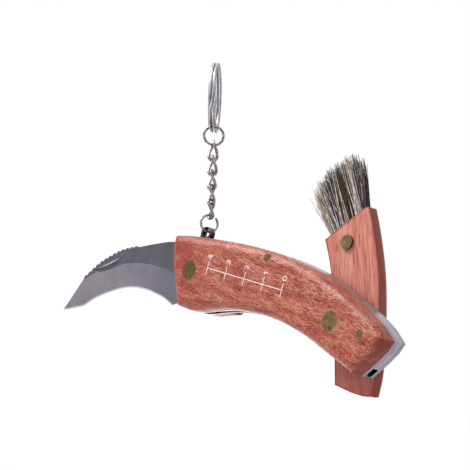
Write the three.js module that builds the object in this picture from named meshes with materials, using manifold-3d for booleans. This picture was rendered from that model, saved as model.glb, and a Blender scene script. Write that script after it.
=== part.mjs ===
// A folding mushroom knife: a hooked blade with a toothed spine, a brush that swings out of the
// back of the wooden handle, and a short chain with a split ring.
// Millimetres, +Z up, the knife's flat faces look along Y, the blade points to -X.
// The handle slopes down towards its butt, and the chain stands upright above it.
import * as THREE from "three";
import { mergeVertices } from "three/addons/utils/BufferGeometryUtils.js";
import Module from "manifold-3d";

const wasm = await Module();
wasm.setup();

// How the knife is held
const handleSlope = THREE.MathUtils.degToRad(22.4);
const chainLean = THREE.MathUtils.degToRad(2.9);

// Handle, seen from the front: its outline is given in shares of its length and width,
// counted from the blade's pivot
const handleLength = 114;
const handleWidth = 27;
const handleTopShares = [
  [-0.12, 0.405],
  [-0.04, 0.457],
  [0.07, 0.495],
  [0.16, 0.522],
  [0.263, 0.537],
  [0.368, 0.526],
  [0.439, 0.5],
  [0.504, 0.463],
  [0.57, 0.407],
  [0.654, 0.307],
  [0.732, 0.196],
  [0.789, 0.104],
  [0.833, 0.019],
  [0.88, -0.111],
];
const handleButtShares = [
  [0.866, -0.244],
  [0.838, -0.404],
  [0.79, -0.632],
];
const handleBottomShares = [
  [0.7246, -0.557],
  [0.649, -0.47],
  [0.5746, -0.383],
  [0.5035, -0.327],
  [0.433, -0.289],
  [0.363, -0.276],
  [0.289, -0.293],
  [0.218, -0.324],
  [0.166, -0.365],
  [0.118, -0.415],
  [0.07, -0.474],
  [0.031, -0.507],
  [-0.0265, -0.498],
];
const handleFrontShares = [
  [-0.049, -0.33],
  [-0.0745, -0.153],
  [-0.0985, 0.037],
  [-0.1145, 0.2],
];

// Handle, across its thickness
const linerGap = 2.6;
const linerThickness = 1.3;
const scaleThickness = 6.3;
const edgeRadiusShare = 0.111;
const seatGap = 0.05;

// Back block, the short piece of wood that stays on the back at the blade's end
const blockReach = 11.8;
const blockLean = THREE.MathUtils.degToRad(14);

// Spring: a flat bar on edge between the liners, with the eye for the chain at its front end
const springThickness = 2.4;
const springUnderShares = [
  [-0.14, 0.318],
  [0.079, 0.318],
  [0.175, 0.34],
  [0.404, 0.318],
  [0.544, 0.255],
  [0.649, 0.155],
  [0.715, 0.055],
  [0.736, -0.15],
  [0.741, -0.34],
  [0.765, -0.49],
  [0.86, -0.525],
];
const eyeShares = [-0.0474, 0.526];
const eyeRadius = 2.55;
const eyeHoleLift = 0.3;
const eyeHoleRadius = 1.5;
const eyeMouthRadius = 2.6;
const eyeThroat = 0.9;
const eyeNeckWidth = 4.8;

// Pins: the two pivots have broad heads, the two spring pins are plain rods
const pivotHeadRadius = 3.5;
const bladePivotRadius = 2.4;
const brushPivotShares = [0.6596, -0.1];
const brushPivotRadius = 1.8;
const backHeadDepth = 1.6;
const springPinShares = [0.3316, 0.441];
const springPinRadius = 1.4;
const buttPinShares = [0.7895, -0.141];
const buttPinRadius = 1.5;
const pinClearance = 0.08;

// Blade: its outline is given in shares of its reach, from the pivot to the point, and of the
// handle's width, because it folds between the liners
const bladeReach = 81;
const bladeThickness = 2.2;
const cuttingEdgeThickness = 0.2;
const bladePointThickness = 0.6;
const bladePointShare = [-0.9345, -1.086];
const clipCornerShare = [-0.833, -0.564];
const spineShares = [
  [-0.748, -0.303],
  [-0.684, -0.162],
  [-0.627, -0.0555],
  [-0.5815, 0.0075],
  [-0.52, 0.0705],
  [-0.399, 0.192],
  [-0.27, 0.3],
  [-0.1705, 0.3075],
];
const edgeCornerShare = [-0.7975, -0.941];
const cuttingEdgeShares = [
  [-0.7136, -0.759],
  [-0.6086, -0.6],
  [-0.5136, -0.496],
  [-0.4111, -0.448],
  [-0.3173, -0.456],
  [-0.242, -0.4815],
  [-0.178, -0.5355],
];
const grindShares = [0.05, 0.2, 0.37, 0.37, 0.41, 0.455, 0.5, 0.53];
const toothCount = 13;
const toothDepth = 0.75;
const toothedShare = 0.54;
const plainSteps = 6;
const clipSteps = 3;
const tangRadiusShare = 0.3037;
const tangLap = 0.5;
const tangSweep = THREE.MathUtils.degToRad(108);
const tangKickShare = [-0.13, -0.471];
const nickShares = [-0.6815, -0.285];
const nickLength = 15;
const nickHeight = 2.6;
const nickDepth = 0.5;
const nickTurn = THREE.MathUtils.degToRad(30.5);

// Brush arm: the rear of the back scale, cut off on a slant and hung on its own pivot
const armThickness = 5.7;
const armOpening = THREE.MathUtils.degToRad(53);
const armCutReach = 36.65;
const armCutLean = THREE.MathUtils.degToRad(7);
const armCornerRadius = 2.2;
const washerRadius = 4.6;
const washerThickness = 1.5;

// Bristles, in a pocket of the slanted end
const bristleSpanShare = 0.652;
const bristleOffsetShare = -0.2074;
const plugThickness = 3.2;
const plugDepth = 9.5;
const plugRecess = 0.4;
const plugSliceGap = 0.3;
const pocketClearance = 0.15;
const tuftCount = 4;
const strandColumns = 10;
const strandRows = 9;
const strandRadius = 0.15;
const strandSink = 0.2;
const strandMargin = 0.08;
const bristleLength = 24;
const bristleLengthShares = [0.93, 0.98, 1, 1, 0.97, 0.9, 0.8];
const lengthVaryShare = 0.09;
const varyStep = 7;
const varyCycle = 11;
const fanStart = 1.8;
const fanEnd = -5.2;
const fanAcross = 0.75;

// Rivet through the arm and the bristles' plug
const rivetSetback = 6.45;
const rivetRiseShare = 0.174;
const rivetHeadRadius = 2.6;
const rivetHeadHeight = 1;
const rivetBackHeadRadius = 2.2;
const rivetBackHeadDepth = 1;
const rivetRadius = 1;

// Chain: two jump rings, and between them twisted links, each hooked a little round from the last
const jumpWire = 0.95;
const lowerRingRadius = 3.12;
const upperRingRadius = 3.62;
const ringLift = 0.6;
const ringShift = 0.25;
const ringGap = 0.1;
const lowerRingTurn = THREE.MathUtils.degToRad(60);
const linkCount = 5;
const linkWire = 1.2;
const linkLength = 7.15;
const linkWidth = 3;
const linkGap = 0.45;
const linkShift = 0.65;
const linkTwist = Math.PI / 2;
const firstLinkTurn = THREE.MathUtils.degToRad(-4);
const linkTurn = THREE.MathUtils.degToRad(14.5);

// Split ring: one flat wire in two level turns, with a short crossing from one to the other
const splitRadius = 12.6;
const splitWidth = 1.3;
const splitThickness = 1;
const splitTurnGap = 0.45;
const splitGapToRing = 0.55;
const splitShift = -0.15;
const splitLean = THREE.MathUtils.degToRad(1.6);
const splitTurn = THREE.MathUtils.degToRad(-48.5);
const splitEndTurn = THREE.MathUtils.degToRad(-21.5);
const splitSectionShares = [
  [-1, 0],
  [-0.7, -1],
  [0.7, -1],
  [1, 0],
  [0.7, 1],
  [-0.7, 1],
];

// Facets
const turns = 2;
const turnSteps = 24;
const crossingSteps = 1;
const wireSides = 6;
const ringSteps = 24;
const linkSteps = 26;
const roundSides = 24;
const curveSteps = 2;
const edgeSteps = 3;
const overrun = 5;
const weld = 1e-4;

// Where the pins, the eye and the nail groove lie from the blade's pivot, and the rivet from the
// brush's
const eyePlace = handlePlace(eyeShares);
const eyeHolePlace = [eyePlace[0], eyePlace[1] + eyeHoleLift];
const brushPivotPlace = handlePlace(brushPivotShares);
const springPinPlace = handlePlace(springPinShares);
const buttPinPlace = handlePlace(buttPinShares);
const nickPlace = bladePlace(nickShares);
const rivetPlace = [rivetSetback - armCutReach, rivetRiseShare * handleWidth];

// Sizes that follow the handle's width
const edgeRadius = edgeRadiusShare * handleWidth;
const tangRadius = tangRadiusShare * handleWidth;
const bristleSpan = bristleSpanShare * handleWidth;
const bristleOffset = bristleOffsetShare * handleWidth;

// Where each layer lies across the thickness
const linerInner = linerGap / 2;
const linerOuter = linerInner + linerThickness;
const scaleInner = linerOuter + seatGap;
const frontFace = scaleInner + scaleThickness;
const washerInner = linerOuter + seatGap;
const armInner = washerInner + washerThickness + seatGap;
const backFace = armInner + armThickness;
const plugMiddle = armThickness / 2;

const wood = { color: 0xbe6955, roughness: 0.55, metalness: 0 };
const armWood = { color: 0xc87a63, roughness: 0.55, metalness: 0 };
const steel = { color: 0xb0abba, roughness: 0.35, metalness: 0.9 };
const bladeSteel = { color: 0x8b8791, roughness: 0.3, metalness: 0.95 };
const brass = { color: 0x827845, roughness: 0.45, metalness: 0.8 };
const chainMetal = { color: 0x9a9290, roughness: 0.3, metalness: 1 };
const ringMetal = { color: 0xc4c2c8, roughness: 0.2, metalness: 1 };
const bristleHair = { color: 0x6f6558, roughness: 0.8, metalness: 0 };

// A closed geometry as a solid that can be joined and cut.
function solid(geometry) {
  const bare = geometry.clone();
  bare.deleteAttribute("normal");
  bare.deleteAttribute("uv");
  const merged = mergeVertices(bare, weld);
  const corners = merged.index.array;
  const kept = [];
  for (let i = 0; i < corners.length; i += 3) {
    const [a, b, c] = [corners[i], corners[i + 1], corners[i + 2]];
    if (a !== b && b !== c && c !== a) kept.push(a, b, c);
  }
  return new wasm.Manifold(
    new wasm.Mesh({
      numProp: 3,
      vertProperties: merged.attributes.position.array,
      triVerts: new Uint32Array(kept),
    }),
  );
}

// A solid as a named mesh with its own material.
function piece(name, body, finish) {
  const made = body.getMesh();
  const geometry = new THREE.BufferGeometry();
  geometry.setAttribute("position", new THREE.BufferAttribute(made.vertProperties, 3));
  geometry.setIndex(new THREE.BufferAttribute(made.triVerts, 1));
  geometry.computeVertexNormals();
  const mesh = new THREE.Mesh(geometry, new THREE.MeshStandardMaterial({ ...finish, flatShading: true }));
  mesh.name = name;
  return mesh;
}

// A place on the handle, from shares of its length and width.
function handlePlace([along, up]) {
  return [along * handleLength, up * handleWidth];
}

// A place on the blade, from shares of its reach and of the handle's width.
function bladePlace([along, up]) {
  return [along * bladeReach, up * handleWidth];
}

// Points given in shares of two sizes, moved by an offset.
function places(shares, sizeX, sizeZ, [offsetX, offsetZ] = [0, 0]) {
  return shares.map(([x, z]) => new THREE.Vector2(x * sizeX - offsetX, z * sizeZ - offsetZ));
}

// A flat shape, drawn in X and Z, filled from one Y to another.
function plate(shape, from, to) {
  const geometry = new THREE.ExtrudeGeometry(shape, {
    depth: to - from,
    bevelEnabled: false,
    curveSegments: curveSteps,
  });
  geometry.rotateX(Math.PI / 2);
  geometry.translate(0, to, 0);
  return solid(geometry);
}

// A round rod along Y.
function rod(radius, from, to, [x, z] = [0, 0]) {
  const geometry = new THREE.CylinderGeometry(radius, radius, to - from, roundSides);
  geometry.translate(x, (from + to) / 2, z);
  return solid(geometry);
}

// A box between two corners.
function block(low, high) {
  const size = high.map((value, i) => value - low[i]);
  const geometry = new THREE.BoxGeometry(...size);
  geometry.translate(...low.map((value, i) => value + size[i] / 2));
  return solid(geometry);
}

// The handle's outline about a chosen point of the handle.
function handleOutline(centre = [0, 0]) {
  const top = places(handleTopShares, handleLength, handleWidth, centre);
  const butt = places(handleButtShares, handleLength, handleWidth, centre);
  const bottom = places(handleBottomShares, handleLength, handleWidth, centre);
  const front = places(handleFrontShares, handleLength, handleWidth, centre);
  const shape = new THREE.Shape();
  shape.moveTo(top[0].x, top[0].y);
  shape.splineThru(top.slice(1));
  butt.forEach((point) => shape.lineTo(point.x, point.y));
  shape.splineThru(bottom);
  front.forEach((point) => shape.lineTo(point.x, point.y));
  shape.closePath();
  return shape;
}

// A wooden plate of the handle's outline with one rounded face: it fills Y from 0 to the
// thickness, and the rounded face is the far one.
function roundedPlate(thickness, centre = [0, 0]) {
  const geometry = new THREE.ExtrudeGeometry(handleOutline(centre), {
    depth: 2 * (thickness - edgeRadius),
    bevelThickness: edgeRadius,
    bevelSize: edgeRadius,
    bevelOffset: -edgeRadius,
    bevelSegments: edgeSteps,
    curveSegments: curveSteps,
  });
  geometry.rotateX(Math.PI / 2);
  geometry.translate(0, thickness - edgeRadius, 0);
  const low = [-handleLength * 2, -thickness * 2, -handleLength * 2];
  const high = [handleLength * 2, 0, handleLength * 2];
  return solid(geometry).subtract(block(low, high));
}

// Wooden scale on the front of the handle.
function makeFrontScale() {
  let body = roundedPlate(scaleThickness);
  body = body.subtract(rod(pivotHeadRadius + pinClearance, -overrun, frontFace));
  body = body.subtract(rod(pivotHeadRadius + pinClearance, -overrun, frontFace, brushPivotPlace));
  body = body.subtract(rod(springPinRadius + pinClearance, -overrun, frontFace, springPinPlace));
  body = body.subtract(rod(buttPinRadius + pinClearance, -overrun, frontFace, buttPinPlace));
  const mesh = piece("front_scale", body.mirror([0, 1, 0]), wood);
  mesh.position.y = -scaleInner;
  return mesh;
}

// The part of the handle's length in front of a leaning line, as a cutting plate.
function frontRegion(reach, lean, thickness) {
  const rise = handleWidth * 2;
  const shape = new THREE.Shape();
  shape.moveTo(-handleLength, -rise);
  shape.lineTo(reach + rise * Math.tan(lean), -rise);
  shape.lineTo(reach - rise * Math.tan(lean), rise);
  shape.lineTo(-handleLength, rise);
  shape.closePath();
  return plate(shape, -overrun, thickness + overrun);
}

// Short wooden block on the back, round the blade's pivot.
function makeBackBlock() {
  const thickness = backFace - scaleInner;
  let body = roundedPlate(thickness).intersect(frontRegion(blockReach, blockLean, thickness));
  body = body.subtract(rod(pivotHeadRadius + pinClearance, -overrun, backFace));
  const mesh = piece("back_block", body, wood);
  mesh.position.y = scaleInner;
  return mesh;
}

// One of the two steel liners.
function makeLiner(name, from) {
  let body = plate(handleOutline(), 0, linerThickness);
  body = body.subtract(rod(bladePivotRadius + pinClearance, -overrun, overrun));
  body = body.subtract(rod(brushPivotRadius + pinClearance, -overrun, overrun, brushPivotPlace));
  body = body.subtract(rod(springPinRadius + pinClearance, -overrun, overrun, springPinPlace));
  body = body.subtract(rod(buttPinRadius + pinClearance, -overrun, overrun, buttPinPlace));
  const mesh = piece(name, body, steel);
  mesh.position.y = from;
  return mesh;
}

// The eye's hole, with both mouths flared so that the ring can lie across it.
function eyeHole() {
  const profile = [
    [0, -springThickness],
    [eyeMouthRadius, -springThickness],
    [eyeHoleRadius, -eyeThroat / 2],
    [eyeHoleRadius, eyeThroat / 2],
    [eyeMouthRadius, springThickness],
    [0, springThickness],
  ];
  const points = profile.map(([x, y]) => new THREE.Vector2(x, y));
  const geometry = new THREE.LatheGeometry(points, roundSides);
  geometry.translate(eyeHolePlace[0], 0, eyeHolePlace[1]);
  return solid(geometry);
}

// Back spring: a bar along the handle's top edge that fills the butt and carries the chain's eye.
function makeSpring() {
  const half = springThickness / 2;
  const under = places(springUnderShares, handleLength, handleWidth);
  const region = new THREE.Shape();
  region.moveTo(under[0].x, under[0].y);
  under.slice(1).forEach((point) => region.lineTo(point.x, point.y));
  region.lineTo(handleLength, under.at(-1).y);
  region.lineTo(handleLength, handleWidth);
  region.lineTo(under[0].x, handleWidth);
  region.closePath();
  let body = plate(handleOutline(), -half, half).intersect(plate(region, -springThickness, springThickness));
  const [eyeX, eyeZ] = eyePlace;
  const neckFoot = handleTopShares[0][1] * handleWidth - half;
  const neckLow = [eyeX - eyeNeckWidth / 2, -half, neckFoot];
  const neckHigh = [eyeX + eyeNeckWidth / 2, half, eyeZ];
  body = body.add(block(neckLow, neckHigh)).add(rod(eyeRadius, -half, half, eyePlace));
  body = body.subtract(eyeHole());
  body = body.subtract(rod(springPinRadius + pinClearance, -springThickness, springThickness, springPinPlace));
  body = body.subtract(rod(buttPinRadius + pinClearance, -springThickness, springThickness, buttPinPlace));
  return piece("back_spring", body, steel);
}

// A pivot with a broad head flush with the front, a thin middle and a head at the back.
function makePivotPin(name, radius, backHeadFrom) {
  const frontHeadTo = -linerOuter - seatGap;
  const profile = [
    [0, -frontFace],
    [pivotHeadRadius, -frontFace],
    [pivotHeadRadius, frontHeadTo],
    [radius, frontHeadTo],
    [radius, backHeadFrom],
    [pivotHeadRadius, backHeadFrom],
    [pivotHeadRadius, backFace],
    [0, backFace],
  ];
  const points = profile.map(([x, y]) => new THREE.Vector2(x, y));
  return piece(name, solid(new THREE.LatheGeometry(points, roundSides)), brass);
}

// A plain rod from the front face to the back liner.
function makeSpringPin(name, radius, [x, z]) {
  const mesh = piece(name, rod(radius, -frontFace, linerOuter), brass);
  mesh.position.set(x, 0, z);
  return mesh;
}

// The blade's cross-sections from point to heel: spine, start of the grind, and cutting edge.
function bladeSections() {
  const at = (share) => new THREE.Vector2(...bladePlace(share));
  const point = at(bladePointShare);
  const clipCorner = at(clipCornerShare);
  const edgeCorner = at(edgeCornerShare);
  const spine = new THREE.SplineCurve([clipCorner, ...spineShares.map(at)]);
  const edge = new THREE.SplineCurve([edgeCorner, ...cuttingEdgeShares.map(at)]);
  const last = grindShares.length - 1;
  const grind = new THREE.SplineCurve(grindShares.map((share, i) => new THREE.Vector2(i / last, share)));
  const sections = [];
  for (let i = 0; i < clipSteps; i++) {
    const along = (i + 1 / clipSteps) / clipSteps;
    const spinePoint = point.clone().lerp(clipCorner, along);
    const edgePoint = point.clone().lerp(edgeCorner, i / clipSteps);
    const thickness = THREE.MathUtils.lerp(bladePointThickness, bladeThickness, along);
    sections.push({ spinePoint, edgePoint, grindShare: grindShares[0], thickness });
  }
  const toothSteps = toothCount * 2;
  for (let i = 0; i <= toothSteps + plainSteps; i++) {
    const toothed = i < toothSteps;
    const plainShare = ((i - toothSteps) / plainSteps) * (1 - toothedShare);
    const along = toothed ? (i / toothSteps) * toothedShare : toothedShare + plainShare;
    const spinePoint = spine.getPointAt(Math.min(along, 1));
    if (toothed && i % 2 === 1) {
      const tangent = spine.getTangentAt(along);
      spinePoint.add(new THREE.Vector2(-tangent.y, tangent.x).multiplyScalar(toothDepth));
    }
    const edgePoint = edge.getPointAt(Math.min(along, 1));
    const grindShare = grind.getPoint(Math.min(along, 1)).y;
    sections.push({ spinePoint, edgePoint, grindShare, thickness: bladeThickness });
  }
  return sections;
}

// The ground part of the blade, skinned over its cross-sections.
function groundBlade() {
  const positions = [];
  const index = [];
  const sections = bladeSections();
  for (const { spinePoint, edgePoint, grindShare, thickness } of sections) {
    const grindPoint = spinePoint.clone().lerp(edgePoint, grindShare);
    const half = thickness / 2;
    const thin = cuttingEdgeThickness / 2;
    positions.push(spinePoint.x, -half, spinePoint.y);
    positions.push(grindPoint.x, -half, grindPoint.y);
    positions.push(edgePoint.x, -thin, edgePoint.y);
    positions.push(edgePoint.x, thin, edgePoint.y);
    positions.push(grindPoint.x, half, grindPoint.y);
    positions.push(spinePoint.x, half, spinePoint.y);
  }
  skin(index, sections.length, 6);
  return solid(surface(positions, index));
}

// Faces between one closed ring of points and another.
function skinBand(index, from, to, sides) {
  for (let side = 0; side < sides; side++) {
    const next = (side + 1) % sides;
    index.push(from + side, from + next, to + next, from + side, to + next, to + side);
  }
}

// Faces between successive closed rings of points, with both ends filled.
function skin(index, ringCount, sides, first = 0) {
  for (let ring = 0; ring + 1 < ringCount; ring++) {
    skinBand(index, first + ring * sides, first + (ring + 1) * sides, sides);
  }
  const end = first + (ringCount - 1) * sides;
  for (let side = 1; side + 1 < sides; side++) {
    index.push(first, first + side + 1, first + side);
    index.push(end, end + side, end + side + 1);
  }
}

// A geometry from loose numbers.
function surface(positions, index) {
  const geometry = new THREE.BufferGeometry();
  geometry.setAttribute("position", new THREE.Float32BufferAttribute(positions, 3));
  geometry.setIndex(index);
  return geometry;
}

// The blade's tang: a full-thickness plate from the heel round the pivot.
function tang() {
  const spineEnd = bladePlace(spineShares.at(-1));
  const heel = bladePlace(cuttingEdgeShares.at(-1));
  const kick = bladePlace(tangKickShare);
  const half = bladeThickness / 2;
  const shape = new THREE.Shape();
  shape.moveTo(spineEnd[0] - tangLap, spineEnd[1]);
  shape.lineTo(0, tangRadius);
  shape.absarc(0, 0, tangRadius, Math.PI / 2, -tangSweep, true);
  shape.lineTo(kick[0], kick[1]);
  shape.lineTo(heel[0], heel[1]);
  shape.closePath();
  return plate(shape, -half, half);
}

// Lens-shaped groove for the thumb nail, on the blade's front.
function nailNick() {
  const geometry = new THREE.SphereGeometry(1, roundSides / 2, roundSides / 4);
  geometry.scale(nickLength / 2, nickDepth, nickHeight / 2);
  geometry.rotateY(-nickTurn);
  geometry.translate(nickPlace[0], -bladeThickness / 2, nickPlace[1]);
  return solid(geometry);
}

function makeBlade() {
  let body = groundBlade().add(tang()).subtract(nailNick());
  body = body.subtract(rod(bladePivotRadius + pinClearance, -bladeThickness, bladeThickness));
  return piece("blade", body, bladeSteel);
}

// Steel washer that keeps the brush arm clear of the back liner.
function makeBrushWasher() {
  const hole = rod(brushPivotRadius + pinClearance, -overrun, overrun);
  const mesh = piece("brush_washer", rod(washerRadius, 0, washerThickness).subtract(hole), steel);
  mesh.position.y = washerInner;
  return mesh;
}

// From here to the rivet, the brush arm's pieces are drawn as if the arm were folded in,
// about the brush pivot, with Y counted from the arm's inner face.

// Everything behind the arm's slanted end, with its upper corner rounded.
function armRegion() {
  const rise = handleWidth * 2;
  const slant = Math.tan(armCutLean);
  const top = handleTopShares[4][1] * handleWidth - brushPivotPlace[1];
  const cutAt = (z) => -armCutReach - z * slant;
  const shape = new THREE.Shape();
  shape.moveTo(handleLength, -rise);
  shape.lineTo(cutAt(-rise), -rise);
  shape.lineTo(cutAt(top - armCornerRadius), top - armCornerRadius);
  shape.quadraticCurveTo(cutAt(top), top, cutAt(top) + armCornerRadius, top);
  shape.lineTo(cutAt(top) + armCornerRadius, rise);
  shape.lineTo(handleLength, rise);
  shape.closePath();
  return plate(shape, -overrun, armThickness + overrun);
}

// A solid drawn about the slanted end, with X out along the bristles, set in the arm.
function atArmCut(body) {
  const turn = THREE.MathUtils.radToDeg(Math.PI - armCutLean);
  return body.rotate([0, turn, 0]).translate([-armCutReach, plugMiddle, 0]);
}

// The box that holds the bristles' foot, with a margin all round.
function plugBox(margin, outer, low, high) {
  const half = plugThickness / 2 + margin;
  return block([-plugRecess - plugDepth - margin, -half, low - margin], [outer, half, high + margin]);
}

function makeBrushArm() {
  const low = bristleOffset - bristleSpan / 2;
  const high = bristleOffset + bristleSpan / 2;
  let body = roundedPlate(armThickness, brushPivotPlace).intersect(armRegion());
  body = body.subtract(atArmCut(plugBox(pocketClearance, overrun, low, high)));
  body = body.subtract(rod(brushPivotRadius + pinClearance, -overrun, armThickness + overrun));
  const headFrom = armThickness - backHeadDepth - pinClearance;
  body = body.subtract(rod(pivotHeadRadius + pinClearance, headFrom, armThickness + overrun));
  body = body.subtract(rod(rivetRadius + pinClearance, -overrun, armThickness + overrun, rivetPlace));
  const rivetFrom = armThickness - rivetBackHeadDepth - pinClearance;
  body = body.subtract(rod(rivetBackHeadRadius + pinClearance, rivetFrom, armThickness + overrun, rivetPlace));
  return piece("brush_arm", body, armWood);
}

// One bristle as a three-sided spike, from a foot inside the plug to its tip.
function addStrand(positions, index, foot, tip) {
  const first = positions.length / 3;
  const sides = 3;
  for (const [centre, radius] of [[foot, strandRadius], [tip, strandRadius / 2]]) {
    for (let side = 0; side < sides; side++) {
      const angle = (side / sides) * Math.PI * 2;
      positions.push(centre.x, centre.y + radius * Math.cos(angle), centre.z + radius * Math.sin(angle));
    }
  }
  skin(index, 2, sides, first);
}

// The tip of a strand, which stands at a share of the way across the brush: 0 is at the handle's
// lower edge and 1 at its upper edge.
function strandTip(foot, across, row, number) {
  const last = bristleLengthShares.length - 1;
  const spot = across * last;
  const before = Math.min(Math.floor(spot), last - 1);
  const share = THREE.MathUtils.lerp(bristleLengthShares[before], bristleLengthShares[before + 1], spot - before);
  const vary = 1 - lengthVaryShare * (((number * varyStep) % varyCycle) / varyCycle);
  const rowShare = (row / (strandRows - 1)) * 2 - 1;
  return new THREE.Vector3(
    bristleLength * share * vary,
    foot.y + fanAcross * rowShare,
    foot.z + THREE.MathUtils.lerp(fanStart, fanEnd, across),
  );
}

// A quarter of the brush: its slice of the plug with its strands standing on it.
function makeTuft(tuft) {
  const slice = bristleSpan / tuftCount;
  const high = bristleOffset + bristleSpan / 2 - tuft * slice;
  const low = high - slice + plugSliceGap;
  let body = plugBox(0, -plugRecess, low, high);
  const positions = [];
  const index = [];
  const columnStep = (high - low - 2 * strandMargin) / strandColumns;
  const rowStep = plugThickness / strandRows;
  for (let column = 0; column < strandColumns; column++) {
    for (let row = 0; row < strandRows; row++) {
      const z = high - strandMargin - (column + 1 / 2) * columnStep;
      const y = (row + 1 / 2) * rowStep - plugThickness / 2;
      const foot = new THREE.Vector3(-plugRecess - strandSink, y, z);
      const across = (bristleOffset + bristleSpan / 2 - z) / bristleSpan;
      const number = tuft * strandColumns * strandRows + column * strandRows + row;
      addStrand(positions, index, foot, strandTip(foot, across, row, number));
    }
  }
  body = atArmCut(body.add(solid(surface(positions, index))));
  body = body.subtract(rod(rivetRadius + pinClearance, -overrun, armThickness + overrun, rivetPlace));
  return piece("bristle_tuft_" + (tuft + 1), body, bristleHair);
}

// Rivet with a round head proud of the arm's inner face and a flush one at the back.
function makeBristleRivet() {
  const backFrom = armThickness - rivetBackHeadDepth;
  const profile = [
    [0, -rivetHeadHeight],
    [rivetHeadRadius, -rivetHeadHeight],
    [rivetHeadRadius, -seatGap],
    [rivetRadius, -seatGap],
    [rivetRadius, backFrom],
    [rivetBackHeadRadius, backFrom],
    [rivetBackHeadRadius, armThickness],
    [0, armThickness],
  ];
  const points = profile.map(([x, y]) => new THREE.Vector2(x, y));
  const mesh = piece("bristle_rivet", solid(new THREE.LatheGeometry(points, roundSides)), brass);
  mesh.position.set(rivetPlace[0], 0, rivetPlace[1]);
  return mesh;
}

// A closed loop of round wire in the XZ plane, with straight sides along Z, twisted about Z.
function wireLoop(radius, straight, twist, wire, steps) {
  const path = new THREE.Path();
  path.absarc(0, straight / 2, radius, 0, Math.PI, false);
  path.absarc(0, -straight / 2, radius, Math.PI, 2 * Math.PI, false);
  path.closePath();
  const positions = [];
  const index = [];
  for (let step = 0; step < steps; step++) {
    const centre = path.getPointAt(step / steps);
    const along = path.getTangentAt(step / steps);
    for (let side = 0; side < wireSides; side++) {
      const angle = (side / wireSides) * 2 * Math.PI;
      const out = (wire / 2) * Math.cos(angle);
      const x = centre.x + along.y * out;
      const z = centre.y - along.x * out;
      const turn = (-twist / 2) * Math.sin((Math.PI / 2) * (centre.y / (radius + straight / 2)));
      const spot = new THREE.Vector3(x, (wire / 2) * Math.sin(angle), z);
      positions.push(...spot.applyAxisAngle(new THREE.Vector3(0, 0, 1), turn));
    }
    skinBand(index, step * wireSides, ((step + 1) % steps) * wireSides, wireSides);
  }
  return solid(surface(positions, index));
}

function makeJumpRing(name, radius, centreZ, turn) {
  const mesh = piece(name, wireLoop(radius, 0, 0, jumpWire, ringSteps), chainMetal);
  mesh.position.z = centreZ;
  mesh.rotation.z = turn;
  return mesh;
}

// A link whose lower bend faces the given way, and whose upper bend is twisted from it.
function makeLink(number, bottomZ, lowerTurn) {
  const body = wireLoop(linkWidth / 2, linkLength - linkWidth, linkTwist, linkWire, linkSteps);
  const mesh = piece("chain_link_" + (number + 1), body, chainMetal);
  mesh.position.z = bottomZ + linkLength / 2;
  mesh.rotation.z = lowerTurn - linkTwist / 2;
  return mesh;
}

// Split ring: one flat wire wound twice about Y, each end standing beside the crossing.
function makeSplitRing(centreZ) {
  const positions = [];
  const index = [];
  const pitch = splitThickness + splitTurnGap;
  const lastStep = turns * turnSteps - crossingSteps;
  for (let step = crossingSteps; step <= lastStep; step++) {
    const angle = (step / turnSteps) * Math.PI * 2 + splitEndTurn;
    const crossed = (step - turnSteps + crossingSteps) / (2 * crossingSteps);
    const middle = (THREE.MathUtils.clamp(crossed, 0, 1) - 1 / 2) * pitch;
    for (const [out, side] of splitSectionShares) {
      const radius = splitRadius + (out * splitWidth) / 2;
      const across = middle + (side * splitThickness) / 2;
      positions.push(radius * Math.cos(angle), across, radius * Math.sin(angle));
    }
  }
  const sides = splitSectionShares.length;
  skin(index, positions.length / 3 / sides, sides);
  printLeastGap(positions, sides);
  const geometry = surface(positions, index);
  geometry.translate(0, splitShift, 0);
  geometry.rotateX(-splitLean);
  const mesh = piece("split_ring", solid(geometry), ringMetal);
  mesh.position.z = centreZ;
  mesh.rotation.z = splitTurn;
  return mesh;
}

// The least distance between points that lie more than half a turn apart along the wire.
function printLeastGap(positions, sides) {
  let least = Infinity;
  const count = positions.length / 3;
  const apart = (turnSteps / 2) * sides;
  for (let i = 0; i < count; i++) {
    for (let j = i + apart; j < count; j++) {
      const dx = positions[3 * i] - positions[3 * j];
      const dy = positions[3 * i + 1] - positions[3 * j + 1];
      const dz = positions[3 * i + 2] - positions[3 * j + 2];
      least = Math.min(least, Math.hypot(dx, dy, dz));
    }
  }
  console.log("least gap between the split ring's turns: " + least.toFixed(3) + " mm");
}

// Chain and rings, upright above the eye: the group's origin is the middle of the eye's hole.
function makeChain() {
  const chain = new THREE.Group();
  const hookGap = (jumpWire + linkWire) / 2 + ringGap;
  const lowerCentre = ringLift + lowerRingRadius;
  chain.add(makeJumpRing("lower_jump_ring", lowerRingRadius, lowerCentre, lowerRingTurn));
  let bottom = lowerCentre + lowerRingRadius - hookGap;
  let turn = firstLinkTurn;
  for (let number = 0; number < linkCount; number++) {
    chain.add(makeLink(number, bottom, turn));
    bottom += linkLength - (number < linkCount - 1 ? linkWire + linkGap : hookGap);
    turn += linkTurn;
  }
  turn -= linkTurn;
  const upperCentre = bottom + upperRingRadius;
  chain.add(makeJumpRing("upper_jump_ring", upperRingRadius, upperCentre, turn));
  const upperInnerTop = upperCentre + upperRingRadius - jumpWire / 2;
  const splitLow = upperInnerTop - splitGapToRing - splitWidth / 2;
  chain.add(makeSplitRing(splitLow + splitRadius));
  chain.children.forEach((link, i) => {
    const shift = i === 0 ? ringShift : linkShift;
    link.position.x = shift * Math.cos(lowerRingTurn);
    link.position.y = shift * Math.sin(lowerRingTurn);
  });
  return chain;
}

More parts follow.
